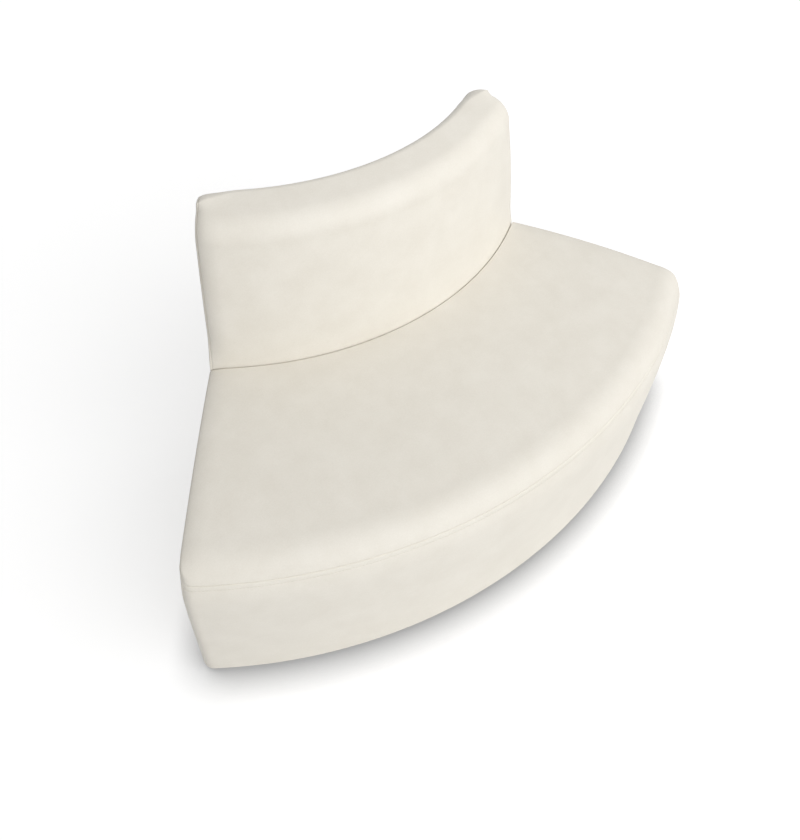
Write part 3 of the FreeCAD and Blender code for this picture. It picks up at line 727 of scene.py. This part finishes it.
def back_end(side, form, sewing):
    """End of the back: the edge that wraps round from the seam, and the flat end."""
    seam = form.seam_inset
    rings = []
    stops = [(seam - distance, FLAT_LIP*depth) for depth, distance in lips(sewing)]
    first = math.asin(1 - min(1.0, (seam - sewing.seam_width)/form.end_round))
    for i in range(1, 8):
        turn = first + (math.pi/2 - first)*i/7
        stops.append((form.end_round*(1 - math.sin(turn)), 0.0))
    for number, (run, depth) in enumerate(stops):
        path = back_path(BACK_END + run, form)
        ring = [place(side, BACK_END + run, *spot) for spot in pressed(path, depth)]
        step = 0.0005*number
        rear = REAR_R + COVER + 0.0006 + step
        low = DECK_Z + 0.001 + step
        flush = BACK_END + depth
        for i in range(1, 13):
            ring.append(place(side, flush, rear, BACK_SEAM_Z - 0.004 + (low - BACK_SEAM_Z + 0.004)*i/12))
        foot = path[0][0]
        ring += [place(side, flush, rear + (foot - rear)*i/7, low) for i in range(1, 7)]
        rings.append(ring)
    centre = sum(rings[-1], Vector())/len(rings[-1])
    outer = rings + [[p.lerp(centre, share) for p in rings[-1]] for share in (0.06, 0.2, 0.45, 0.75)]
    inward = place(side, 0.012, REAR_R, 0) - place(side, 0.0, REAR_R, 0)
    base = [p.lerp(centre, 0.05) + inward for p in rings[-1]]
    return dish(outer, [base, [p.lerp(centre + inward, 0.5) for p in base]], (centre, centre + inward))


# Rear, underside and small pieces
def rear_band(bottom, top, inset, hem, sewing):
    """Grids of a stretched rear panel: its outside, turned in at the edges, and its inside against the skin."""
    lip = [(FLAT_LIP*depth, distance) for depth, distance in lips(sewing)]
    path = [(depth, top - distance) for depth, distance in lip]
    start = path[-1][1] - 0.004
    stop = bottom + (0.003 if hem else 2*sewing.seam_width)
    path += [(0.0, start + (stop - start)*i/16) for i in range(17)]
    if hem:
        lower_edge = [(0.001, bottom + 0.0008), (0.004, bottom)]
        path += lower_edge + [(line, bottom) for line in REAR_HEM_LINES]
    else:
        path += [(depth, bottom + distance) for depth, distance in reversed(lip)]
    half = [(inset + distance, depth) for depth, distance in lip]
    half += [(run, 0.0) for run in graded(inset + 2*sewing.seam_width, HALF*REAR_R, REAR_COLUMNS)]
    outer = []
    inner = []
    for side, run, depth in both_sides(half):
        line = []
        within = []
        for sunk, height in path:
            inside = max(run, sunk) if sunk in REAR_HEM_LINES else run
            line.append(place(side, inside, REAR_R + sunk + depth, height, REAR_R))
            within.append(place(side, inside, REAR_R + max(sunk, COVER) + depth*0.1,
                                max(height, bottom + (COVER if hem else 0)), REAR_R))
        outer.append(line)
        inner.append(within)
    return outer, inner


def sheet_holes():
    """Places under the base where the dust sheet is cut out: the glides and the link bolts."""
    centres = []
    for name in frame["bodies"]:
        if name.startswith("glide"):
            low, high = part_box(name)
            centres.append(((low + high)/2).xy)
    centres += [Vector(joint["pos_m"][:2]) for joint in frame["joints"] if joint["type"] == "hinge"]
    centres += [Vector(mount["pos_m"][:2]) for name, mount in MOUNTS.items() if "socket" in name]
    return centres


def dust_edge():
    """Least and greatest radius of the dust sheet and its distance inside the end planes."""
    inner, outer = radii("dust_sheet")
    return inner, outer, depth_inside("dust_sheet")


def dust_cloth():
    """Triangles of the thin sheet under the base, cut out round the glides and bolts, with a slight sag."""
    inner, outer, lap = dust_edge()
    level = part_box("dust_sheet")[1].z
    outline = []
    for radius, order in ((outer, 1), (inner, -1)):
        half = [(lap + (HALF*radius - lap)*i/24,) for i in range(25)]
        outline += [place(side*order, run, radius, 0).xy for side, run in both_sides(half)]
    loops = [outline]
    centres = sheet_holes()
    for centre in centres:
        turns = [math.tau*i/20 for i in range(20)]
        loops.append([centre + SHEET_HOLE*Vector((math.cos(turn), math.sin(turn))) for turn in turns])
    points = []
    edges = []
    for loop in loops:
        first = len(points)
        points += loop
        edges += [(first + i, first + (i + 1) % len(loop)) for i in range(len(loop))]
    for i in range(1, 16):
        radius = inner + (outer - inner)*i/16
        for j in range(1, 40):
            angle = HALF*(2*j/40 - 1)*0.97
            spot = Vector((radius*math.sin(angle), AXIS_Y - radius*math.cos(angle)))
            if all((spot - centre).length > 1.4*SHEET_HOLE for centre in centres):
                points.append(spot)
    found = geometry.delaunay_2d_cdt(points, edges, [], 1, 1e-6)
    faces = []
    for face in found[2]:
        middle = sum((found[0][i] for i in face), Vector((0, 0)))/len(face)
        if all((middle - centre).length > 0.98*SHEET_HOLE for centre in centres):
            faces.append(tuple(face))
    top = []
    for spot in found[0]:
        radius = math.hypot(spot.x, spot.y - AXIS_Y)
        angle = HALF - abs(math.atan2(spot.x, AXIS_Y - spot.y))
        border = min(radius - inner, outer - radius, radius*math.sin(max(0, angle)))
        sag = SHEET_SAG*ease(border, *SAG_REACH)*(1 + 0.5*noise.noise(Vector((spot.x*7, spot.y*7, 0))))
        top.append(Vector((spot.x, spot.y, level - sag)))
    thick = Vector((0, 0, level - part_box("dust_sheet")[0].z))
    return closed_sheet(top, faces, thick)


def closed_sheet(top, faces, thick):
    """Closed thin sheet under a set of faces."""
    count = len(top)
    points = top + [p - thick for p in top]
    uses = {}
    for face in faces:
        for a, b in zip(face, face[1:] + face[:1]):
            uses.setdefault((min(a, b), max(a, b)), []).append((a, b))
    solid = list(faces) + [tuple(i + count for i in reversed(face)) for face in faces]
    for found in uses.values():
        if len(found) == 1:
            a, b = found[0]
            solid.append((b, a, a + count, b + count))
    return points, solid


def capsule(centre, along, out, length, radius):
    """Points and faces of one stitch or staple bar: a round-ended bar, a little flattened."""
    side = along.cross(out)
    points = []
    corners = 6
    flattened = 0.8
    stops = ((-0.5, 0.25), (-0.42, 0.75), (-0.2, 1.0), (0.2, 1.0), (0.42, 0.75), (0.5, 0.25))
    for share, swell in stops:
        for i in range(corners):
            turn = math.tau*i/corners
            points.append(centre + along*length*share
                          + (side*math.cos(turn) + out*flattened*math.sin(turn))*radius*swell)
    last = corners*(len(stops) - 1)
    faces = [tuple(reversed(range(corners))), tuple(range(last, last + corners))]
    for first in range(0, last, corners):
        for i in range(corners):
            a = first + i
            b = first + (i + 1) % corners
            faces.append((a, b, b + corners, a + corners))
    return points, faces


def topstitches(form, sewing):
    """Row of stitches along the front band, a little under the seam."""
    height = SEAM_Z - sewing.stitch_drop
    inset = band_inset(sewing.stitch_drop, form) + 0.0006
    slant = 0.10
    stitches = []
    count = int(HALF*FRONT_R/sewing.stitch_pitch)
    for side in SIDES.values():
        for i in range(count):
            run = (i + 0.7)*sewing.stitch_pitch
            a = front_place(side, max(0, run - 0.001), inset, height, form)
            b = front_place(side, run + 0.001, inset, height, form)
            along = (b - a).normalized()
            out = along.cross(Vector((0, 0, 1)))*-side
            tilt = along + Vector((0, 0, slant*side))
            stitches.append(capsule((a + b)/2 + out*0.0002, tilt.normalized(), out,
                                    sewing.stitch_length, sewing.thread))
    return joined(*stitches)


def plate_sweeps():
    """Centre and reach of each link plate's swing, seen from below."""
    sweeps = []
    for joint in frame["joints"]:
        if joint["type"] == "hinge":
            pivot = Vector(joint["pos_m"][:2])
            plate = frame["nodes"][joint["name"].replace("_swing", "")]
            sweeps.append((pivot, max((v.co.xy - pivot).length for v in plate.data.vertices)))
    return sweeps


def staples(sewing):
    """Staples along the edge of the dust sheet, thin wire bars pressed against it, none in a link plate's swing."""
    inner, outer, lap = dust_edge()
    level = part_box("dust_sheet")[0].z
    margin = STAPLE_MARGIN
    bars = []
    down = Vector((0, 0, -1))
    places = []
    for radius in (inner + margin, outer - margin):
        count = int((HALF*radius - lap)/sewing.staple_pitch)
        for side in SIDES.values():
            for i in range(count + 1):
                run = lap + margin + i*sewing.staple_pitch
                places.append((place(side, run, radius, level), place(side, run + 0.001, radius, level)))
    count = int((outer - inner)/sewing.staple_pitch)
    for side in SIDES.values():
        for i in range(1, count):
            radius = inner + (outer - inner)*i/count
            places.append((place(side, lap + margin, radius, level), place(side, lap + margin, radius + 0.001, level)))
    sweeps = plate_sweeps()
    for a, b in places:
        if any((a.xy - pivot).length < reach + margin for pivot, reach in sweeps):
            continue
        bars.append(capsule(a + down*0.0002, (b - a).normalized(), down, sewing.staple_length, sewing.staple_wire))
    return joined(*bars)


# Materials
def blank(name):
    """New material: its node tree, its shader and a texture place that follows the piece."""
    material = bpy.data.materials.new(name)
    material.use_nodes = True
    tree = material.node_tree
    return material, tree, tree.nodes["Principled BSDF"], add(tree, "TexCoord").outputs["Object"]


def feed(tree, node, inputs):
    """Links or sets inputs of a node."""
    for name, value in inputs.items():
        if isinstance(value, bpy.types.NodeSocket):
            tree.links.new(value, node.inputs[name])
        else:
            node.inputs[name].default_value = value
    return node


def add(tree, kind, inputs=None, **settings):
    """New node of a kind with its own settings and its inputs."""
    node = tree.nodes.new("ShaderNode" + kind)
    for name, value in settings.items():
        setattr(node, name, value)
    return feed(tree, node, inputs or {})


def noise_node(tree, where, scale, detail=3.0, rough=0.55, stretch=None):
    """Noise factor at a scale, in features per metre, optionally stretched along an axis."""
    if stretch:
        where = add(tree, "Mapping", {"Scale": stretch, "Vector": where}).outputs["Vector"]
    texture = add(tree, "TexNoise", {"Scale": scale, "Detail": detail, "Roughness": rough, "Vector": where})
    return texture.outputs["Fac"]


def remap(tree, value, low, high, start=0.0, end=1.0):
    """Value from low to high taken to the range from start to end."""
    inputs = {"Value": value, "From Min": low, "From Max": high, "To Min": start, "To Max": end}
    return add(tree, "MapRange", inputs).outputs["Result"]


def tint(tree, factor, *colours):
    """Colour between two others."""
    first, second = [c if isinstance(c, bpy.types.NodeSocket) else (*c, 1.0) for c in colours]
    return add(tree, "Mix", {"Factor": factor, 6: first, 7: second}, data_type="RGBA").outputs[2]


def combine(tree, operation, first, second):
    """One sum or product of two values."""
    return add(tree, "Math", {0: first, 1: second}, operation=operation).outputs[0]


def raised(tree, height, distance, strength):
    """Normals of a surface with a fine relief."""
    bump = add(tree, "Bump", {"Height": height, "Distance": distance, "Strength": strength})
    return bump.outputs["Normal"]


def toned(colour, factor, more=0.0):
    """Paler or deeper tone of a colour."""
    return tuple(min(1.0, c*factor + more) for c in colour)


def ivory_leather(finish):
    """Coated cloth: pebbled grain about a millimetre wide, faint clouds of tone and a soft satin gloss."""
    material, tree, shader, where = blank("ivory_leather")
    cloud = noise_node(tree, where, 16, 4, 0.6)
    fleck = noise_node(tree, where, 330, 2, 0.6)
    mixed = combine(tree, "ADD", combine(tree, "MULTIPLY", cloud, 0.62), combine(tree, "MULTIPLY", fleck, 0.38))
    pebble = add(tree, "TexVoronoi", {"Scale": 820, "Smoothness": 0.5, "Vector": where}, feature="SMOOTH_F1")
    pore = noise_node(tree, where, 2400, 2, 0.5)
    grain = combine(tree, "ADD", pebble.outputs["Distance"], combine(tree, "MULTIPLY", pore, 0.35))
    feed(tree, shader, {
        "Base Color": tint(tree, remap(tree, mixed, 0.36, 0.64), finish.leather_cloud, finish.leather),
        "Roughness": remap(tree, cloud, 0.3, 0.7, 0.40, 0.50), "Specular IOR Level": 0.42,
        "Normal": raised(tree, grain, 0.00022, 0.5)})
    return material


def sewing_thread(finish):
    """Twisted thread: a fine slanting rib along its length."""
    material, tree, shader, where = blank("sewing_thread")
    twist = add(tree, "TexWave", {"Scale": 900, "Distortion": 0.6, "Vector": where}, bands_direction="DIAGONAL")
    rib = twist.outputs["Fac"]
    feed(tree, shader, {"Base Color": tint(tree, rib, finish.thread, toned(finish.thread, 1.06)),
                        "Roughness": 0.55, "Normal": raised(tree, rib, 0.0001, 0.5)})
    return material


def birch_plywood(finish):
    """Raw plywood: long grain on the faces and thin dark veneer lines on upright edges."""
    material, tree, shader, where = blank("birch_plywood")
    grain = noise_node(tree, where, 18, 6, 0.65, (1.0, 14.0, 14.0))
    face = tint(tree, remap(tree, grain, 0.3, 0.7), finish.birch, toned(finish.birch, 1.22))
    veneer = add(tree, "TexWave", {"Scale": 105, "Distortion": 0.3, "Vector": where}, bands_direction="Z")
    facing = add(tree, "SeparateXYZ", {"Vector": add(tree, "NewGeometry").outputs["Normal"]})
    upright = combine(tree, "LESS_THAN", combine(tree, "ABSOLUTE", facing.outputs["Z"], 0.0), 0.3)
    line = combine(tree, "MULTIPLY", upright, remap(tree, veneer.outputs["Fac"], 0.75, 0.95, 0.0, 0.6))
    feed(tree, shader, {"Base Color": tint(tree, line, face, toned(finish.birch, 0.55)),
                        "Roughness": remap(tree, grain, 0.3, 0.7, 0.55, 0.72),
                        "Normal": raised(tree, grain, 0.0006, 0.3)})
    return material


def zinc_steel(finish):
    """Plated steel with a faint blotchy spangle and fine scratches."""
    material, tree, shader, where = blank("zinc_steel")
    spangle = noise_node(tree, where, 140, 3, 0.6)
    scratch = noise_node(tree, where, 900, 2, 0.6, (1.0, 9.0, 1.0))
    feed(tree, shader, {
        "Base Color": tint(tree, remap(tree, spangle, 0.35, 0.65), toned(finish.zinc, 0.8), finish.zinc),
        "Metallic": 0.9, "Roughness": remap(tree, scratch, 0.3, 0.7, 0.28, 0.46),
        "Normal": raised(tree, scratch, 0.00008, 0.3)})
    return material


def black_nylon(finish):
    """Moulded nylon with a fine matt texture."""
    material, tree, shader, where = blank("black_nylon")
    speck = noise_node(tree, where, 1400, 2, 0.6)
    feed(tree, shader, {
        "Base Color": tint(tree, remap(tree, speck, 0.4, 0.7), finish.nylon, toned(finish.nylon, 1.6, 0.004)),
        "Roughness": remap(tree, speck, 0.3, 0.7, 0.42, 0.58), "Normal": raised(tree, speck, 0.0001, 0.35)})
    return material


def non_woven(finish):
    """Thin pressed fibre sheet: matt, with tangled fibres and a dotted bond pattern."""
    material, tree, shader, where = blank("non_woven_sheet")
    fibre = noise_node(tree, where, 700, 5, 0.7, (1.0, 3.0, 1.0))
    dots = add(tree, "TexVoronoi", {"Scale": 420, "Randomness": 0.15, "Vector": where})
    relief = combine(tree, "ADD", fibre, dots.outputs["Distance"])
    feed(tree, shader, {
        "Base Color": tint(tree, remap(tree, fibre, 0.35, 0.7), finish.dust, toned(finish.dust, 2.2, 0.006)),
        "Roughness": 0.92, "Normal": raised(tree, relief, 0.0002, 0.5)})
    return material


def dress(piece, material, slot_name, *nodes):
    """Gives a piece its material, seats it on the unit's body and lets it stand for CAD nodes."""
    piece.data.materials.append(material)
    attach(piece, "unit")
    if nodes:
        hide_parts(*nodes)
    return piece


def leather_of(context):
    """The one leather material that all the covers share."""
    return bpy.data.materials.get("ivory_leather") or ivory_leather(context.scene.sofa_finish)


class SOFA_OT_frame_finish(bpy.types.Operator):
    """Give the plywood, steel and nylon of the frame their finishes"""
    bl_idname = "sofa.frame_finish"
    bl_label = "Frame finishes"
    bl_options = {"REGISTER", "UNDO"}

    def execute(self, context):
        finish = context.scene.sofa_finish
        materials = {"plywood": birch_plywood(finish), "steel": zinc_steel(finish), "glide": black_nylon(finish)}
        for part in frame["record"]["subparts"]:
            material = materials.get(part["material_slot"])
            if material:
                node = frame["nodes"][part["node"]]
                node.data.materials.clear()
                node.data.materials.append(material)
        return {"FINISHED"}


class SOFA_OT_seat(bpy.types.Operator):
    """Make the padded seat with its rolled front edge"""
    bl_idname = "sofa.seat"
    bl_label = "Seat cushion"
    bl_options = {"REGISTER", "UNDO"}

    def execute(self, context):
        form = context.scene.sofa_seat
        sewing = context.scene.sofa_sewing
        outer, under = seat_cushion(form, sewing)
        piece = mesh_piece("seat_cushion", *shell(outer, under))
        inflate(piece, held_weights(outer, 1.6, 3))
        dress(piece, leather_of(context), "upholstery", "seat_top_cover", "seat_foam")
        return {"FINISHED"}


class SOFA_OT_front_band(bpy.types.Operator):
    """Make the padded band under the front seam, with its topstitch row"""
    bl_idname = "sofa.front_band"
    bl_label = "Front band"
    bl_options = {"REGISTER", "UNDO"}

    def execute(self, context):
        form = context.scene.sofa_seat
        sewing = context.scene.sofa_sewing
        piece = mesh_piece("seat_front_band", *shell(*front_band(form, sewing)))
        dress(piece, leather_of(context), "upholstery", "seat_front_cover", "seat_front_pad")
        row = mesh_piece("front_topstitches", *topstitches(form, sewing), level=0)
        dress(row, sewing_thread(context.scene.sofa_finish), "upholstery")
        return {"FINISHED"}


class SOFA_OT_seat_ends(bpy.types.Operator):
    """Make the boxed ends of the seat"""
    bl_idname = "sofa.seat_ends"
    bl_label = "Seat ends"
    bl_options = {"REGISTER", "UNDO"}

    def execute(self, context):
        for name, side in SIDES.items():
            solid = seat_end(side, context.scene.sofa_seat, context.scene.sofa_sewing)
            piece = mesh_piece("seat_end_panel_" + name, *solid)
            dress(piece, leather_of(context), "upholstery", "seat_end_cover_" + name, "seat_end_pad_" + name)
        return {"FINISHED"}


class SOFA_OT_back(bpy.types.Operator):
    """Make the padded back: one panel over front and top, and wrapped ends"""
    bl_idname = "sofa.back"
    bl_label = "Back cushion"
    bl_options = {"REGISTER", "UNDO"}

    def execute(self, context):
        form = context.scene.sofa_back
        sewing = context.scene.sofa_sewing
        outer, inner = back_cushion(form, sewing)
        piece = mesh_piece("back_cushion", *shell(outer, inner))
        inflate(piece, held_weights(outer, 1.5, 4))
        dress(piece, leather_of(context), "upholstery", "back_front_cover", "back_foam")
        for name, side in SIDES.items():
            end = mesh_piece("back_end_panel_" + name, *back_end(side, form, sewing))
            dress(end, leather_of(context), "upholstery", "back_end_cover_" + name, "back_end_pad_" + name)
        return {"FINISHED"}


class SOFA_OT_rear(bpy.types.Operator):
    """Stretch the rear panels over the back and the base"""
    bl_idname = "sofa.rear"
    bl_label = "Rear panels"
    bl_options = {"REGISTER", "UNDO"}

    def execute(self, context):
        sewing = context.scene.sofa_sewing
        bands = {"base_rear_panel": (FLOOR_GAP, DECK_Z, 0.0, True, "base_rear_cover", "base_rear_skin"),
                 "back_rear_panel": (DECK_Z, BACK_SEAM_Z, BACK_END, False, "back_rear_cover", "back_rear_skin")}
        for name, (bottom, top, inset, hem, cover, skin) in bands.items():
            piece = mesh_piece(name, *shell(*rear_band(bottom, top, inset, hem, sewing)))
            dress(piece, leather_of(context), "upholstery", cover)
        return {"FINISHED"}


class SOFA_OT_underside(bpy.types.Operator):
    """Close the base below with a thin sheet and its staples"""
    bl_idname = "sofa.underside"
    bl_label = "Underside"
    bl_options = {"REGISTER", "UNDO"}

    def execute(self, context):
        finish = context.scene.sofa_finish
        piece = mesh_piece("dust_cloth", *dust_cloth(), level=0)
        dress(piece, non_woven(finish), "dust", "dust_sheet")
        row = mesh_piece("dust_cloth_staples", *staples(context.scene.sofa_sewing), level=0)
        dress(row, bpy.data.materials.get("zinc_steel") or zinc_steel(finish), "steel")
        return {"FINISHED"}


def studio_floor(studio):
    """Wide pale floor. Seen directly it is white where it is lit and keeps the object's real shadow. Near the unit, a
    painted contact shadow from ambient occlusion darkens its colour and its glow.
    """
    mesh = bpy.data.meshes.new("studio_floor")
    square = [(x*studio.floor_reach, y*studio.floor_reach, 0) for x, y in ((-1, -1), (1, -1), (1, 1), (-1, 1))]
    mesh.from_pydata(square, [], [(0, 1, 2, 3)])
    floor = bpy.data.objects.new("studio_floor", mesh)
    bpy.context.scene.collection.objects.link(floor)
    material = bpy.data.materials.new("white_floor")
    material.use_nodes = True
    tree = material.node_tree
    tree.nodes.clear()
    plain = (0.80, 0.80, 0.80)
    # Painted shadow: the darker tones that the floor's paint and glow take near the unit's edges.
    painted_shadow_paint = (0.34, 0.34, 0.34)
    painted_shadow_glow = (0.46, 0.46, 0.46)
    glow_strength = 2.40
    paint_share = 0.78
    # Ambient occlusion near the unit darkens the floor's paint and glow. This is a painted contact shadow, added to the
    # real shadow that the lamps cast.
    painted_shadow_occlusion = add(tree, "AmbientOcclusion", {"Distance": studio.painted_shadow_reach})
    near = remap(tree, painted_shadow_occlusion.outputs["AO"], 0.45, 1.0)
    paint = add(tree, "BsdfDiffuse", {"Color": (*plain, 1.0)})
    shaded = add(tree, "BsdfDiffuse", {"Color": tint(tree, near, painted_shadow_paint, plain)})
    glow = add(tree, "Emission", {"Color": tint(tree, near, painted_shadow_glow, (1.0, 1.0, 1.0)), "Strength": glow_strength})
    seen = add(tree, "MixShader", {0: paint_share, 1: glow.outputs[0], 2: shaded.outputs[0]})
    ray = add(tree, "LightPath").outputs["Is Camera Ray"]
    pick = add(tree, "MixShader", {0: ray, 1: paint.outputs[0], 2: seen.outputs[0]})
    add(tree, "OutputMaterial", {"Surface": pick.outputs[0]})
    floor.data.materials.append(material)


def direct_ray(tree):
    """1 for rays from the camera and for what gloss and glass show of the surroundings."""
    path = add(tree, "LightPath")
    seen = combine(tree, "MAXIMUM", path.outputs["Is Camera Ray"], path.outputs["Is Glossy Ray"])
    return combine(tree, "MAXIMUM", seen, path.outputs["Is Transmission Ray"])


def studio_world(studio):
    """White surroundings that light the object at a plain level, more from the right than from the left."""
    world = bpy.data.worlds.new("studio_world")
    bpy.context.scene.world = world
    world.use_nodes = True
    tree = world.node_tree
    sides = add(tree, "SeparateXYZ", {"Vector": add(tree, "TexCoord").outputs["Generated"]})
    lit = remap(tree, sides.outputs["X"], -1.0, 1.0, studio.ambient*(1 - studio.side_share),
                studio.ambient*(1 + studio.side_share))
    level = add(tree, "MapRange", {"Value": direct_ray(tree), "To Min": lit, "To Max": 1.0})
    feed(tree, tree.nodes["Background"], {"Color": (1.0, 1.0, 1.0, 1.0), "Strength": level.outputs["Result"]})


def heading(azimuth, elevation):
    """Direction from the middle of the stage towards a place round it."""
    flat = math.cos(elevation)
    return Vector((math.sin(azimuth)*flat, -math.cos(azimuth)*flat, math.sin(elevation)))


def lamp(name, kind, energy, spot, aim):
    """New lamp at a place, turned towards its aim."""
    data = bpy.data.lights.new(name, kind)
    data.energy = energy
    light = bpy.data.objects.new(name, data)
    light.location = spot
    light.rotation_euler = (Vector(aim) - Vector(spot)).to_track_quat("-Z", "Y").to_euler()
    bpy.context.scene.collection.objects.link(light)
    return data


def studio_lamps(studio):
    """One wide soft light from the front, and a lamp above the right end whose light falls off towards the left."""
    towards = heading(studio.key_azimuth, studio.key_elevation)
    lamp("key_light", "SUN", studio.key, towards*studio.distance, (0, 0, 0)).angle = studio.key_spread
    lamp("side_lamp", "AREA", studio.side, studio.side_place, studio.side_aim).size = studio.side_size


class SOFA_OT_studio(bpy.types.Operator):
    """Set up the floor, the light and the camera"""
    bl_idname = "sofa.studio"
    bl_label = "Studio"
    bl_options = {"REGISTER", "UNDO"}

    def execute(self, context):
        studio = context.scene.sofa_studio
        studio_floor(studio)
        studio_world(studio)
        studio_lamps(studio)
        data = bpy.data.cameras.new("camera")
        data.lens = studio.lens
        data.sensor_width = 36.0
        data.shift_x, data.shift_y = studio.shift
        camera = bpy.data.objects.new("camera", data)
        back = heading(studio.azimuth, studio.elevation)
        camera.location = Vector(studio.aim) + back*studio.distance
        level = (-back).to_track_quat("-Z", "Y")
        camera.rotation_euler = (level @ Quaternion((0, 0, 1), studio.roll)).to_euler()
        context.scene.collection.objects.link(camera)
        context.scene.camera = camera
        context.scene.view_settings.view_transform = "Standard"
        return {"FINISHED"}


class SOFA_PT_panel(bpy.types.Panel):
    """Lists the pieces of the sofa unit"""
    bl_idname = "SOFA_PT_panel"
    bl_label = "Sofa unit"
    bl_space_type = "VIEW_3D"
    bl_region_type = "UI"
    bl_category = "Sofa unit"

    def draw(self, context):
        for operator in OPERATORS:
            self.layout.operator(operator.bl_idname)
        for name in GROUPS:
            group = getattr(context.scene, name)
            box = self.layout.box()
            for value in group.bl_rna.properties.keys():
                if value not in ("rna_type", "name"):
                    box.prop(group, value)


GROUPS = {"sofa_seat": SeatForm, "sofa_back": BackForm, "sofa_sewing": Sewing, "sofa_finish": Finish,
          "sofa_studio": Studio}
OPERATORS = (SOFA_OT_frame_finish, SOFA_OT_seat, SOFA_OT_front_band, SOFA_OT_seat_ends, SOFA_OT_back,
             SOFA_OT_rear, SOFA_OT_underside, SOFA_OT_studio)


def register():
    for group in GROUPS.values():
        bpy.utils.register_class(group)
    for name, group in GROUPS.items():
        setattr(bpy.types.Scene, name, PointerProperty(type=group))
    for operator in OPERATORS:
        bpy.utils.register_class(operator)
    bpy.utils.register_class(SOFA_PT_panel)


def unregister():
    bpy.utils.unregister_class(SOFA_PT_panel)
    for operator in reversed(OPERATORS):
        bpy.utils.unregister_class(operator)
    for name in GROUPS:
        delattr(bpy.types.Scene, name)
    for group in reversed(GROUPS.values()):
        bpy.utils.unregister_class(group)


def main():
    register()
    for operator in OPERATORS:
        family, name = operator.bl_idname.split(".")
        getattr(getattr(bpy.ops, family), name)()


if __name__ == "__main__":
    main()
